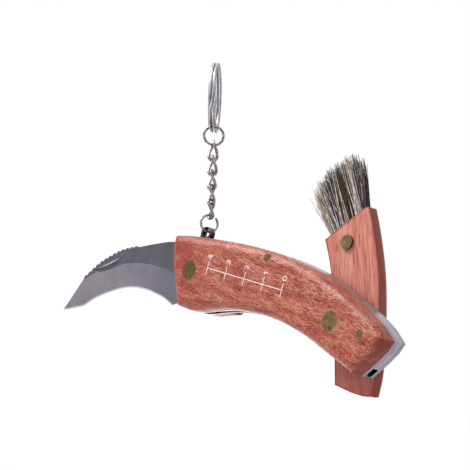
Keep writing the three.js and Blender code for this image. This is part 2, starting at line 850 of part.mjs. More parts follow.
function makeBrush() {
  const brush = new THREE.Group();
  brush.add(makeBrushArm());
  for (let tuft = 0; tuft < tuftCount; tuft++) {
    brush.add(makeTuft(tuft));
  }
  brush.add(makeBristleRivet());
  brush.position.set(brushPivotPlace[0], armInner, brushPivotPlace[1]);
  brush.rotation.y = armOpening;
  return brush;
}

function makeKnife() {
  const knife = new THREE.Group();
  knife.add(makeFrontScale(), makeBackBlock());
  knife.add(makeLiner("front_liner", -linerOuter), makeLiner("back_liner", linerInner));
  knife.add(makeSpring(), makeBlade());
  knife.add(makePivotPin("blade_pivot_pin", bladePivotRadius, linerOuter + seatGap));
  const brushPin = makePivotPin("brush_pivot_pin", brushPivotRadius, backFace - backHeadDepth);
  brushPin.position.set(brushPivotPlace[0], 0, brushPivotPlace[1]);
  knife.add(brushPin);
  knife.add(makeSpringPin("spring_pin", springPinRadius, springPinPlace));
  knife.add(makeSpringPin("butt_pin", buttPinRadius, buttPinPlace));
  const washer = makeBrushWasher();
  washer.position.x = brushPivotPlace[0];
  washer.position.z = brushPivotPlace[1];
  knife.add(washer, makeBrush());
  const chain = makeChain();
  chain.position.set(eyeHolePlace[0], 0, eyeHolePlace[1]);
  chain.rotation.y = chainLean - handleSlope;
  knife.add(chain);
  knife.rotation.y = handleSlope;
  return knife;
}

// The whole part stands with the middle of its box's base at the origin.
const part = new THREE.Group();
part.name = "mushroom_knife";
part.add(makeKnife());
part.updateMatrixWorld(true);
const box = new THREE.Box3().setFromObject(part, true);
part.children[0].position.set(-(box.min.x + box.max.x) / 2, -(box.min.y + box.max.y) / 2, -box.min.z);

export default part;
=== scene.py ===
# %% [markdown]
# # A folding mushroom knife
# The real knife has a hooked blade, a brush on an arm that swings out behind the handle, and a
# short chain with a split ring. Its solids come packed as a fixed frame, and every node already
# stands where it belongs. Nodes whose shape is right only get a finish in this lesson. Thin round
# things, such as wire and hair, are made again with far more faces than a solid can afford.

# %% Load the fixed frame
import math
import random

import bmesh
import bpy
from mathutils import Matrix, Vector, noise


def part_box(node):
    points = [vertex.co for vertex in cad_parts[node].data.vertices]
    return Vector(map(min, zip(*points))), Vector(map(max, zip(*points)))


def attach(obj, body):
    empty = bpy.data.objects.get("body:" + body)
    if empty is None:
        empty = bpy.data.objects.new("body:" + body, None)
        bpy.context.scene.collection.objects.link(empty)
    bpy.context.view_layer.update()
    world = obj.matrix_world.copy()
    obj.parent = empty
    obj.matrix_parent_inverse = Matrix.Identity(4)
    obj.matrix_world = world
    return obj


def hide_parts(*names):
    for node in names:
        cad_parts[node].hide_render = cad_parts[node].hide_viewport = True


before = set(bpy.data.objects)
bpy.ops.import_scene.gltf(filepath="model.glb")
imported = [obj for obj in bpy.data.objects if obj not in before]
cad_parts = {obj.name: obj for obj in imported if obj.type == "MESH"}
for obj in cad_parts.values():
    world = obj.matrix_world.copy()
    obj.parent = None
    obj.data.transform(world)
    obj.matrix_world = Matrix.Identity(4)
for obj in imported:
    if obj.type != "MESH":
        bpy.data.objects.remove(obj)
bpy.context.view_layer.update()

# %% [markdown]
# ## Places to measure from
# The handle slopes down towards its butt, so it is easier to think in the knife's own directions:
# along the handle, across its thickness, and up over its width, in millimetres from the blade's
# pivot. One matrix turns such a place into metres in the frame. The brush and the chain get their
# own matrices in the same way, because each hangs on its own pivot.

# %% Matrices for the knife, the brush and the chain
MILLIMETRE = 0.001
HANDLE_SLOPE = math.radians(22.4)
CHAIN_LEAN = math.radians(2.9)
ARM_OPENING = math.radians(53)
BRUSH_PIVOT = (75.19, 4.2, -2.7)
EYE_HOLE = (-5.404, 0, 14.502)


def turned(place, angle):
    """A matrix that stands at a place and is turned about Y."""
    return Matrix.Translation(place) @ Matrix.Rotation(angle, 4, "Y")


pivot_low, pivot_high = (Vector(corner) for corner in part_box("blade_pivot_pin"))
pivot = (pivot_low + pivot_high) / 2
gap_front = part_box("front_liner")[1][1]
gap_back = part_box("back_liner")[0][1]
knife_origin = Vector((pivot.x, (gap_front + gap_back) / 2, pivot.z))
KNIFE = turned(knife_origin, HANDLE_SLOPE) @ Matrix.Scale(MILLIMETRE, 4)
BRUSH = KNIFE @ turned(BRUSH_PIVOT, ARM_OPENING)
CHAIN = KNIFE @ turned(EYE_HOLE, CHAIN_LEAN - HANDLE_SLOPE)
ALONG, THROUGH, UPWARD = (side.normalized() for side in KNIFE.to_3x3().transposed())
print("blade pivot at", [round(x, 4) for x in knife_origin])

# %% [markdown]
# ## Camera
# The photograph looks at the knife from its butt end, a little from below. A short lens close by
# would make the butt much larger than the blade, which the picture doesn't show, so this is a long
# lens, well away from it. One helper stands the camera here and the lamps at the end.

# %% Camera
CAMERA_PLACE = (0.50234, -0.47992, -0.13630)
CAMERA_ROUND = math.radians(45.8)
CAMERA_RISE = math.radians(-16.5)
SENSOR = 36
LENS = 153.19
NEAREST = 0.01


def stand(name, data, place, forwards):
    """Stands a camera or a lamp at a place, looking forwards."""
    holder = bpy.data.objects.new(name, data)
    holder.location = place
    holder.rotation_mode = "QUATERNION"
    holder.rotation_quaternion = forwards.to_track_quat("-Z", "Y")
    bpy.context.scene.collection.objects.link(holder)
    return holder


camera_data = bpy.data.cameras.new("camera")
camera_data.sensor_width = SENSOR
camera_data.lens = LENS
camera_data.clip_start = NEAREST
forwards = -Vector((
    math.sin(CAMERA_ROUND) * math.cos(CAMERA_RISE),
    -math.cos(CAMERA_ROUND) * math.cos(CAMERA_RISE),
    math.sin(CAMERA_RISE),
))
bpy.context.scene.camera = stand("camera", camera_data, CAMERA_PLACE, forwards)
print("camera:", LENS, "mm lens")

# %% [markdown]
# ## Meshes from lists of points
# Every new piece goes through one helper: it takes points in local millimetres, carries them into
# the frame with a matrix, and smooths the faces except across sharp edges. Wire, hair, print and
# the blade are all skins over rings of points. Curves with a bevel would do for the wire, but a
# skin can change its section on the way, as the ground blade and the split ring's ends do.

# %% Helpers for meshes
SHARP_DEGREES = 40


def shade(mesh, sharp_degrees):
    """Smooth faces, with the edges above an angle kept sharp."""
    work = bmesh.new()
    work.from_mesh(mesh)
    bmesh.ops.recalc_face_normals(work, faces=work.faces)
    for face in work.faces:
        face.smooth = True
    for edge in work.edges:
        two_faces = len(edge.link_faces) == 2
        edge.smooth = two_faces and edge.calc_face_angle() < math.radians(sharp_degrees)
    work.to_mesh(mesh)
    work.free()


def new_mesh_object(name, points, faces, place, sharp_degrees=SHARP_DEGREES):
    """An object with these faces, its points carried into the frame."""
    mesh = bpy.data.meshes.new(name)
    mesh.from_pydata([place @ Vector(point) for point in points], [], faces)
    shade(mesh, sharp_degrees)
    made = bpy.data.objects.new(name, mesh)
    bpy.context.scene.collection.objects.link(made)
    return made


def skin(faces, first, rings, sides, closed=False):
    """Faces over successive rings of points; an open skin gets its two ends filled."""
    for ring in range(rings if closed else rings - 1):
        here = first + ring * sides
        there = first + (ring + 1) % rings * sides
        for side in range(sides):
            after = (side + 1) % sides
            faces.append((here + side, here + after, there + after, there + side))
    if not closed:
        last = first + (rings - 1) * sides
        faces.append(tuple(first + side for side in reversed(range(sides))))
        faces.append(tuple(last + side for side in range(sides)))


def settle(piece, body, finish=None, replaces=()):
    """Gives a piece its finish, its body and the nodes that it stands for."""
    if finish:
        piece.data.materials.append(finish)
    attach(piece, body)
    if replaces:
        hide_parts(*replaces)
    print(piece.name, "has", len(piece.data.polygons), "faces")


print("edges sharper than", SHARP_DEGREES, "degrees stay sharp")

# %% [markdown]
# ## Nodes from short calls
# Modifiers and materials are both trees of nodes. Set one socket at a time, a tree takes pages, so
# one helper makes a node, applies its settings, and feeds each input with a link or a plain value.
# Two more open and close a node group, whose sockets have names that a reader can follow.

# %% Helpers for nodes


def add_node(tree, kind, inputs=(), **settings):
    """A node with these settings; an input takes another node's socket or a plain value."""
    node = tree.nodes.new(kind)
    for label, value in settings.items():
        setattr(node, label, value)
    for label, value in dict(inputs).items():
        if isinstance(value, bpy.types.NodeSocket):
            tree.links.new(value, node.inputs[label])
        else:
            node.inputs[label].default_value = value
    return node


def open_group(name, kind, inputs):
    """A node group with named inputs; returns it and what comes in."""
    group = bpy.data.node_groups.new(name, kind)
    for label, form in inputs.items():
        group.interface.new_socket(label, in_out="INPUT", socket_type="NodeSocket" + form)
    return group, group.nodes.new("NodeGroupInput").outputs


def close_group(group, form, **results):
    """Gives each result an output with its name."""
    for label in results:
        group.interface.new_socket(label, in_out="OUTPUT", socket_type="NodeSocket" + form)
    end = group.nodes.new("NodeGroupOutput")
    for label, socket in results.items():
        group.links.new(socket, end.inputs[label])
    print(group.name, "has", len(group.nodes), "nodes")


print("node helpers: 3")

# %% [markdown]
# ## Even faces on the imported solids
# The real plates are milled and rubbed smooth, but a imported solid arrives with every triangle
# shaded flat. Its mesh is never changed, but a modifier may read it: this one joins the loose
# corners, drops the stored normals, and smooths everything but the real corners. A weighted normal
# modifier then keeps the broad faces truly flat.

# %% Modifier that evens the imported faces
CORNER_ANGLE = math.radians(36)
JOIN_WITHIN = 1e-6
SET_SMOOTH = "GeometryNodeSetShadeSmooth"
BROADEST_ONLY = 100

even_faces, given = open_group("even_faces", "GeometryNodeTree", {"Geometry": "Geometry"})
joined = add_node(
    even_faces, "GeometryNodeMergeByDistance", {0: given[0], "Distance": JOIN_WITHIN})
bare = add_node(
    even_faces, "GeometryNodeRemoveAttribute", {0: joined.outputs[0], "Name": "custom_normal"})
smooth = add_node(even_faces, SET_SMOOTH, {0: bare.outputs[0]})
angle = add_node(even_faces, "GeometryNodeInputMeshEdgeAngle").outputs["Unsigned Angle"]
above = add_node(
    even_faces, "ShaderNodeMath", {0: angle, 1: CORNER_ANGLE}, operation="GREATER_THAN")
sharp = add_node(
    even_faces, SET_SMOOTH,
    {0: smooth.outputs[0], "Selection": above.outputs[0], "Shade Smooth": False}, domain="EDGE")
close_group(even_faces, "Geometry", Geometry=sharp.outputs[0])


def dress_nodes(finish, *nodes):
    """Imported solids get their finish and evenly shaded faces."""
    for node in nodes:
        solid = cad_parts[node]
        for slot in solid.material_slots:
            slot.material = finish
        solid.modifiers.new("even_faces", "NODES").node_group = even_faces
        weighting = solid.modifiers.new("broad_faces_flat", "WEIGHTED_NORMAL")
        weighting.mode = "FACE_AREA"
        weighting.weight = BROADEST_ONLY
        weighting.keep_sharp = True
    print(finish.name, "is on", ", ".join(nodes))


# %% [markdown]
# ## Colours and sums
# A colour is written as it looks on a screen, and turned into the linear value that a shader
# wants. A mask is a sum of other masks. Drawn by hand in the node editor it is easy to see, but in
# a script it reads better as one short call for each step, which gives back its result.

# %% Helpers for colours and sums
MIX_FIRST, MIX_SECOND, MIX_RESULT = 6, 7, 2  # the colour sockets of a Mix node


def linear(red, green, blue):
    """A screen colour, 0 to 255, as the linear colour a shader takes."""
    def straight(value):
        value /= 255
        return value / 12.92 if value <= 0.04045 else ((value + 0.055) / 1.055) ** 2.4
    return (straight(red), straight(green), straight(blue), 1)


def add_math(tree, operation, *values):
    """The result of a math node."""
    return add_node(tree, "ShaderNodeMath", enumerate(values), operation=operation).outputs[0]


def add_vector_math(tree, operation, *values, output="Vector"):
    """The result of a vector math node, whose output is a Vector or a Value."""
    node = add_node(tree, "ShaderNodeVectorMath", enumerate(values), operation=operation)
    return node.outputs[output]


def add_vector(tree, *parts):
    """A vector from its three parts."""
    return add_node(tree, "ShaderNodeCombineXYZ", enumerate(parts)).outputs[0]


def add_parts(tree, vector):
    """The three parts of a vector."""
    return add_node(tree, "ShaderNodeSeparateXYZ", {0: vector}).outputs


def add_range(tree, value, low, high):
    """Spreads a value so that low becomes 0 and high becomes 1, smoothly."""
    inputs = {"Value": value, "From Min": low, "From Max": high}
    node = add_node(tree, "ShaderNodeMapRange", inputs, interpolation_type="SMOOTHSTEP")
    return node.outputs["Result"]


def add_mix(tree, share, first, second):
    """Mixes two colours."""
    inputs = {0: share, MIX_FIRST: first, MIX_SECOND: second}
    return add_node(tree, "ShaderNodeMix", inputs, data_type="RGBA").outputs[MIX_RESULT]


print("white is", linear(255, 255, 255)[:3])

# %% [markdown]
# ## Patterns
# Every pattern on this knife is noise: stretched for wood and brush marks, round for stains. It is
# read at the surface's own place in millimetres, so it keeps its scale and moves with its piece.
# An image could show more, but it would need to be stored and unwrapped.

# %% Helpers for patterns


def add_noise(tree, place, detail, roughness=0.5, scale=1.0):
    """Noise read at a place."""
    inputs = {"Vector": place, "Scale": scale, "Detail": detail, "Roughness": roughness}
    return add_node(tree, "ShaderNodeTexNoise", inputs).outputs["Fac"]


def add_pattern(tree, place, stretch, detail, roughness=0.5, shift=None):
    """Noise stretched three ways, and shifted if it must differ from another."""
    place = add_vector_math(tree, "MULTIPLY", place, stretch)
    if shift:
        place = add_vector_math(tree, "ADD", place, shift)
    return add_noise(tree, place, detail, roughness)


def add_place(tree, matrix):
    """Where a point of the surface is, in the millimetres of one of the matrices above."""
    back = matrix.inverted()
    inputs = {
        "Vector": add_node(tree, "ShaderNodeTexCoord").outputs["Object"],
        "Location": back.to_translation(),
        "Rotation": back.to_euler(),
        "Scale": (1 / MILLIMETRE,) * 3,
    }
    return add_node(tree, "ShaderNodeMapping", inputs).outputs["Vector"]


def use_group(tree, group, inputs):
    """Places a node group in a material; returns what it puts out."""
    return add_node(tree, "ShaderNodeGroup", inputs, node_tree=group).outputs


print("a metre is", round(1 / MILLIMETRE), "steps of a pattern")

# %% [markdown]
# ## One finish, several tones
# A surface is rarely one tone all over: end grain drinks more varnish than a side, and the handle
# is darker towards the blade. Other tones are painted light: painted shade on faces turned from
# the lamp, a painted shadow where the handle shades the arm, and a painted reflection that darkens
# the split ring's sides. Each of these could be a finish of its own, but the borders would show.
# Here each is a mask, from the way the surface faces or from its place, that lays one more tone
# over the colour that a finish already has.

# %% New finishes and tints


def new_finish(name, plain):
    """A material, its tree and its shader, with the values that are the same all over."""
    finish = bpy.data.materials.new(name)
    finish.use_nodes = True
    shader = finish.node_tree.nodes["Principled BSDF"]
    for label, value in plain.items():
        shader.inputs[label].default_value = value
    return finish, finish.node_tree, shader.inputs


def add_bump(tree, sockets, height, strength, distance):
    """Small relief from a height, in metres."""
    inputs = {"Height": height, "Strength": strength, "Distance": distance}
    bump = add_node(tree, "ShaderNodeBump", inputs)
    tree.links.new(bump.outputs["Normal"], sockets["Normal"])


def tint_base(finish, share, most, tone):
    """Lays a tone over the base colour of a finish where a mask says so."""
    tree = finish.node_tree
    base = tree.nodes["Principled BSDF"].inputs["Base Color"]
    share = add_math(tree, "MULTIPLY", share, most)
    tree.links.new(add_mix(tree, share, base.links[0].from_socket, linear(*tone)), base)


def tint_facing(finish, axis, none_at, full_at, most, tone):
    """Tints the faces by how straight they look along an axis: 0 is sideways, 1 is straight."""
    tree = finish.node_tree
    normal = add_node(tree, "ShaderNodeTexCoord").outputs["Normal"]
    straight = add_vector_math(tree, "DOT_PRODUCT", normal, axis, output="Value")
    straight = add_math(tree, "ABSOLUTE", straight)
    tint_base(finish, add_range(tree, straight, none_at, full_at), most, tone)


def tint_along(finish, matrix, none_at, full_at, most, tone):
    """Tints by the place along the knife or the brush, in millimetres."""
    tree = finish.node_tree
    along = add_parts(tree, add_place(tree, matrix))[0]
    tint_base(finish, add_range(tree, along, none_at, full_at), most, tone)


print("along the knife is", [round(x, 3) for x in ALONG])

# %% [markdown]
# ## Edges: wear and painted light
# Hands and pockets rub the edges of a knife first, so its corners are a little lighter than its
# faces; on the handle, the steel and the pins that lighter tone is also a painted highlight. The
# brush arm's edges are rounded over and get a darker tone instead, which is painted shade. A bevel
# node gives the normal that a rounded edge would have. Where that differs from the real normal
# there is an edge, and the difference makes a mask for either tone without changing the shape.

# %% Node group: edges for wear and painted light
BEVEL_SAMPLES = 6
ALIKE_ON_FACES, ALIKE_ON_EDGES = 0.995, 0.88

edge_wear_and_light, given = open_group("edge_wear_and_light", "ShaderNodeTree", {"Width": "Float"})
width = add_math(edge_wear_and_light, "MULTIPLY", given["Width"], MILLIMETRE)
bevel = add_node(edge_wear_and_light, "ShaderNodeBevel", {"Radius": width}, samples=BEVEL_SAMPLES)
surface = add_node(edge_wear_and_light, "ShaderNodeNewGeometry")
alike = add_vector_math(
    edge_wear_and_light, "DOT_PRODUCT", bevel.outputs["Normal"], surface.outputs["Normal"], output="Value")
close_group(
    edge_wear_and_light, "Float", Edges=add_range(edge_wear_and_light, alike, ALIKE_ON_FACES, ALIKE_ON_EDGES))


def tint_edges_wear_and_light(finish, tone, width, strength):
    """Lays a tone along the edges of a finish, over a width in millimetres: wear, painted
    highlight or painted shade.
    """
    edges = use_group(finish.node_tree, edge_wear_and_light, {"Width": width})["Edges"]
    tint_base(finish, edges, strength, tone)


# %% [markdown]
# ## Wood grain
# Both woods are salmon-red hardwoods. Seen close, they have slow light and dark bands, fine
# fibres, golden patches, pale flecks and many short dark pores like pen strokes. One group makes
# all of these from noise that is stretched along the grain, and bends the grain a little so that
# it looks grown. A stretch is given along the grain, through the board and across it.

# %% Node group: wood grain
BEND_STRETCH = (0.045, 0.09, 0.07)
BAND_STRETCH = (0.14, 0.14, 0.14)
FLECK_STRETCH, FLECK_SHIFT = (2.2, 1.9, 1.7), (3.1, 8.2, 5.7)
GOLDEN_STRETCH, GOLDEN_SHIFT = (0.2, 0.3, 0.36), (7.3, 2.1, 4.9)
CROWD_STRETCH = (0.1, 0.2, 0.3)
CROWDING = 0.25
PORE_LEVEL, PORE_LEVEL_DROP, PORE_RIM = 0.85, 0.3, 0.07
FIBRE_RELIEF, PORE_RELIEF = 0.5, -1.0
GOLDEN_RANGE = (0.48, 0.68)
FLECK_RANGE = (0.5, 0.72)

wood_grain, given = open_group("wood_grain", "ShaderNodeTree", {
    "Place": "Vector", "Fibre Density": "Vector", "Pore Length": "Float", "Pore Width": "Float",
    "Waviness": "Float", "Pore Share": "Float",
})
place, density, pore_length, pore_width, waviness, pore_share = given[:6]
bend = add_pattern(wood_grain, place, BEND_STRETCH, detail=1.0)
bend = add_math(wood_grain, "MULTIPLY", add_math(wood_grain, "SUBTRACT", bend, 0.5), waviness)
bent = add_vector_math(wood_grain, "ADD", place, add_vector(wood_grain, 0, 0, bend))
fibre_place = add_vector_math(wood_grain, "MULTIPLY", bent, density)
fibres = add_noise(wood_grain, fibre_place, detail=5.0, roughness=0.62)
bands = add_pattern(wood_grain, fibre_place, BAND_STRETCH, detail=3.0, roughness=0.6)
flecks = add_pattern(wood_grain, fibre_place, FLECK_STRETCH, detail=2.0, shift=FLECK_SHIFT)
golden = add_pattern(
    wood_grain, bent, GOLDEN_STRETCH, detail=4.0, roughness=0.65, shift=GOLDEN_SHIFT)
crowds = add_pattern(wood_grain, bent, CROWD_STRETCH, detail=2.0)
pore_size = add_vector(wood_grain, pore_length, pore_width, pore_width)
pore_place = add_vector_math(wood_grain, "DIVIDE", bent, pore_size)
pore_noise = add_noise(wood_grain, pore_place, detail=1.0)
pore_noise = add_math(wood_grain, "MULTIPLY_ADD", crowds, CROWDING, pore_noise)
level_drop = add_math(wood_grain, "MULTIPLY", pore_share, PORE_LEVEL_DROP)
least = add_math(wood_grain, "SUBTRACT", PORE_LEVEL, level_drop)
most = add_math(wood_grain, "ADD", least, PORE_RIM)
pores = add_range(wood_grain, pore_noise, least, most)
fibre_height = add_math(wood_grain, "MULTIPLY", fibres, FIBRE_RELIEF)
close_group(
    wood_grain, "Float", Bands=bands, Fibres=fibres, Pores=pores,
    Golden=add_range(wood_grain, golden, *GOLDEN_RANGE),
    Flecks=add_range(wood_grain, flecks, *FLECK_RANGE),
    Height=add_math(wood_grain, "MULTIPLY_ADD", pores, PORE_RELIEF, fibre_height))

# %% [markdown]
# ## The two woods
# The handle's grain is short and wild, with golden patches between the red. The brush arm was cut
# from calmer wood with long straight pores. Both get their tones from the same group, each with
# its own values, and a thin coat of varnish. Two unrelated materials would drift apart.

# %% The two woods
GRAIN_LEAN = math.radians(6)
ARM_GRAIN_LEAN = math.radians(13)
VARNISH = {"Specular IOR Level": 0.1, "Coat Weight": 0.45, "Coat Roughness": 0.4}
BAND_RANGE = (0.38, 0.62)
FIBRE_RANGE = (0.4, 0.64)
WOOD_ROUGHNESS, PORE_ROUGHNESS = 0.5, 0.2
GRAIN_RELIEF = 0.06 * MILLIMETRE
GRAIN_STRENGTH = 0.6


def wood_finish(name, matrix, tones, shares, settings):
    """A wood from its tones and from how much of each pattern shows."""
    finish, tree, sockets = new_finish(name, VARNISH)
    grain = use_group(tree, wood_grain, {"Place": add_place(tree, matrix), **settings})
    bands = add_range(tree, grain["Bands"], *BAND_RANGE)
    colour = add_mix(tree, bands, linear(*tones["mid"]), linear(*tones["light"]))
    tree.links.new(colour, sockets["Base Color"])
    fibres = add_range(tree, grain["Fibres"], *FIBRE_RANGE)
    tint_base(finish, grain["Golden"], shares["golden"], tones["golden"])
    tint_base(finish, fibres, shares["dark"], tones["dark"])
    tint_base(finish, grain["Flecks"], shares["fleck"], tones["fleck"])
    tint_base(finish, grain["Pores"], shares["pore"], tones["pore"])
    tint_edges_wear_and_light(finish, tones["edge"], shares["edge width"], shares["edge"])
    rough = add_math(tree, "MULTIPLY_ADD", grain["Pores"], PORE_ROUGHNESS, WOOD_ROUGHNESS)
    tree.links.new(rough, sockets["Roughness"])
    add_bump(tree, sockets, grain["Height"], GRAIN_STRENGTH, GRAIN_RELIEF)
    return finish


# The handle's lighter edge tone is partly wear and partly painted highlight; the arm's dark edge
# tone is painted shade.
handle_wood = wood_finish(
    "handle_wood", KNIFE @ Matrix.Rotation(GRAIN_LEAN, 4, "Y"),
    {"mid": (172, 76, 60), "light": (210, 130, 108), "dark": (136, 42, 30),
     "golden": (214, 152, 106), "fleck": (234, 166, 146), "pore": (92, 26, 16),
     "edge": (216, 142, 122)},
    {"golden": 0.52, "dark": 0.85, "fleck": 0.5, "pore": 0.85, "edge": 0.4, "edge width": 0.35},
    {"Fibre Density": (0.42, 2.2, 3.0), "Pore Length": 2.4, "Pore Width": 0.24,
     "Waviness": 7.0, "Pore Share": 0.5})
arm_wood = wood_finish(
    "arm_wood", BRUSH @ Matrix.Rotation(ARM_GRAIN_LEAN, 4, "Y"),
    {"mid": (210, 125, 107), "light": (232, 158, 139), "dark": (176, 88, 72),
     "golden": (226, 164, 128), "fleck": (238, 172, 152), "pore": (140, 54, 40),
     "edge": (128, 42, 30)},
    {"golden": 0.3, "dark": 0.55, "fleck": 0.3, "pore": 0.8, "edge": 0.8, "edge width": 1.6},
    {"Fibre Density": (0.1, 1.5, 2.1), "Pore Length": 9.0, "Pore Width": 0.2,
     "Waviness": 1.2, "Pore Share": 0.52})
# The handle is darker towards the blade; the arm past its pivot gets a painted shadow, where the
# handle shades it.
tint_along(handle_wood, KNIFE, none_at=16, full_at=-8, most=0.5, tone=(146, 44, 34))
tint_along(arm_wood, BRUSH, none_at=2, full_at=16, most=0.5, tone=(144, 56, 44))
# The handle's end grain, darkened also as painted shade, and painted shade on the arm's narrow
# sides.
tint_facing(handle_wood, ALONG, none_at=0.35, full_at=0.8, most=0.7, tone=(116, 32, 24))
tint_facing(arm_wood, THROUGH, none_at=0.9, full_at=0.4, most=0.8, tone=(142, 46, 32))
dress_nodes(handle_wood, "front_scale", "back_block")
dress_nodes(arm_wood, "brush_arm")

# %% [markdown]
# ## Brush marks and tarnish
# The metal parts differ in how they were finished: the liners and the spring are plain milled
# steel, the blade is brushed, the pins are dull brass filed flush with the wood, and the chain is
# nickel plated. One group draws brush marks as very long thin noise, and another gives the slow
# clouds of fingerprints and tarnish. Hair and ink use the clouds, too.

# %% Node groups: brush marks and tarnish
CLOUD_RANGE = (0.35, 0.7)

brush_marks, given = open_group(
    "brush_marks", "ShaderNodeTree", {"Place": "Vector", "Mark Density": "Vector"})
marks = add_pattern(
    brush_marks, given["Place"], given["Mark Density"], detail=4.0, roughness=0.7)
close_group(brush_marks, "Float", Marks=marks)

tarnish, given = open_group(
    "tarnish", "ShaderNodeTree", {"Place": "Vector", "Cloud Size": "Float"})
closeness = add_math(tarnish, "DIVIDE", 1.0, given["Cloud Size"])
scaled = add_node(
    tarnish, "ShaderNodeVectorMath", {0: given["Place"], "Scale": closeness}, operation="SCALE")
clouds = add_noise(tarnish, scaled.outputs[0], detail=4.0, roughness=0.6)
close_group(tarnish, "Float", Clouds=add_range(tarnish, clouds, *CLOUD_RANGE))


def add_clouds(tree, matrix, cloud_size):
    """Clouds of tarnish, of a size in millimetres."""
    inputs = {"Place": add_place(tree, matrix), "Cloud Size": cloud_size}
    return use_group(tree, tarnish, inputs)["Clouds"]


# %% [markdown]
# ## The metals
# Each metal mixes a bright and a dull tone by its marks and clouds, and both also make it rougher.
# A table holds what sets them apart, because that is easier to compare than nine materials. Marks
# are given as a density along, through and across the knife: low along the way of brushing.

# %% The metals
ALONG_MARKS = (0.3, 9.0, 9.0)
ACROSS_MARKS = (9.0, 9.0, 0.3)
EVEN_MARKS = (3.0, 3.0, 3.0)
FILE_MARKS = (0.6, 5.0, 2.0)
SLOW_MARKS = (0.3, 0.3, 0.3)
MARK_RANGE = (0.3, 0.7)
MARK_SHARE, CLOUD_SHARE = 0.45, 0.4
DULL_ROUGHNESS = 0.14
MARK_STRENGTH = 0.4
EDGE_TINT_WIDTH, EDGE_TINT_SHARE = 0.3, 0.8
# Its last column, the edge tone, is partly wear and partly painted highlight.
METALS = {  # matrix, bright and dull tone, roughness, marks, cloud size, relief in mm, worn tone
    "liner_steel": (
        KNIFE, (184, 179, 190), (148, 143, 155), 0.3, ALONG_MARKS, 6.0, 0.006, (206, 202, 210)),
    "spring_steel": (
        KNIFE, (194, 190, 200), (158, 154, 165), 0.26, ALONG_MARKS, 5.0, 0.006, None),
    # The blade's flat, ground and honed tones are partly finish and partly painted reflection.
    "blade_flat_steel": (
        KNIFE, (103, 102, 113), (80, 79, 90), 0.3, ACROSS_MARKS, 9.0, 0.005, None),
    "blade_ground_steel": (
        KNIFE, (152, 145, 154), (120, 114, 124), 0.28, ACROSS_MARKS, 9.0, 0.005, None),
    # The groove's darker tone is painted shade.
    "blade_groove_shaded_steel": (
        KNIFE, (78, 75, 83), (56, 54, 60), 0.34, ACROSS_MARKS, 3.0, 0.005, None),
    "blade_honed_steel": (
        KNIFE, (224, 224, 230), (190, 190, 198), 0.2, ACROSS_MARKS, 9.0, 0.003, None),
    "pin_brass": (
        KNIFE, (150, 124, 92), (60, 48, 32), 0.38, FILE_MARKS, 2.2, 0.01, (172, 150, 116)),
    "chain_nickel": (
        CHAIN, (204, 196, 195), (36, 30, 30), 0.18, EVEN_MARKS, 0.7, 0.003, None),
    "ring_nickel": (
        CHAIN, (230, 228, 234), (188, 185, 192), 0.22, SLOW_MARKS, 5.0, 0.0002, None),
}


def metal_finish(name, matrix, bright, dull, roughness, density, cloud_size, relief, edge_tone):
    """A metal from one row of the table."""
    finish, tree, sockets = new_finish(name, {"Metallic": 1})
    inputs = {"Place": add_place(tree, matrix), "Mark Density": density}
    marks = use_group(tree, brush_marks, inputs)["Marks"]
    clouds = add_math(tree, "MULTIPLY", add_clouds(tree, matrix, cloud_size), CLOUD_SHARE)
    streaks = add_range(tree, marks, *MARK_RANGE)
    dullness = add_math(tree, "MULTIPLY_ADD", streaks, MARK_SHARE, clouds)
    colour = add_mix(tree, dullness, linear(*bright), linear(*dull))
    tree.links.new(colour, sockets["Base Color"])
    rough = add_math(tree, "MULTIPLY_ADD", dullness, DULL_ROUGHNESS, roughness)
    tree.links.new(rough, sockets["Roughness"])
    add_bump(tree, sockets, marks, MARK_STRENGTH, relief * MILLIMETRE)
    if edge_tone:
        tint_edges_wear_and_light(finish, edge_tone, EDGE_TINT_WIDTH, EDGE_TINT_SHARE)
    return finish


metals = {name: metal_finish(name, *row) for name, row in METALS.items()}
liner_steel, spring_steel = metals["liner_steel"], metals["spring_steel"]
pin_brass, chain_nickel = metals["pin_brass"], metals["chain_nickel"]
print("metals:", len(metals))

# %% [markdown]
# ## Where the metals change tone
# Little light reaches the slot between the liners, and the chain's eye at the front of the spring
# lies in shade. Both are too narrow to leave to the lamps alone, so a mask paints shade on them,
# and the steel's edges stay bright, partly wear where they rub and partly a painted highlight. The
# long milled edges get painted shade, darker than the butt, the grind is duller towards the heel,
# and old brass and nickel carry a second layer of stains.

# %% Painted shade in the slot and the eye, bright edges, and patina
SLOT_DARK = (34, 33, 38)
EYE_SHADE = (54, 50, 58)
EDGE_BRIGHT = (194, 190, 198)
LONG_EDGE_SHADE = (146, 141, 152)
HEEL_DULL = (108, 108, 122)
PIVOT_BROWN = (92, 62, 44)
PATINAS = (  # finish, cloud size, most, tone
    (pin_brass, 1.5, 0.6, (70, 62, 36)),
    (chain_nickel, 1.1, 0.75, (74, 62, 62)),
)
GAP_HALF = 1.3
SLOT_FADE = (0.06, 0.01)

tree = liner_steel.node_tree
from_middle = add_math(tree, "ABSOLUTE", add_parts(tree, add_place(tree, KNIFE))[1])
in_slot = add_range(tree, from_middle, *(GAP_HALF + fade for fade in SLOT_FADE))
tint_base(liner_steel, in_slot, most=1, tone=SLOT_DARK)
# Painted shade on the chain's eye at the front of the spring.
tint_along(spring_steel, KNIFE, none_at=8, full_at=0, most=1, tone=EYE_SHADE)
# Bright edges, partly wear and partly painted highlight; painted shade on the long top and bottom
# edges.
for steel in (liner_steel, spring_steel):
    tint_edges_wear_and_light(steel, EDGE_BRIGHT, width=0.22, strength=0.7)
    tint_facing(steel, UPWARD, none_at=0.3, full_at=0.8, most=0.5, tone=LONG_EDGE_SHADE)
tint_along(
    metals["blade_ground_steel"], KNIFE, none_at=-50, full_at=-12, most=0.85, tone=HEEL_DULL)

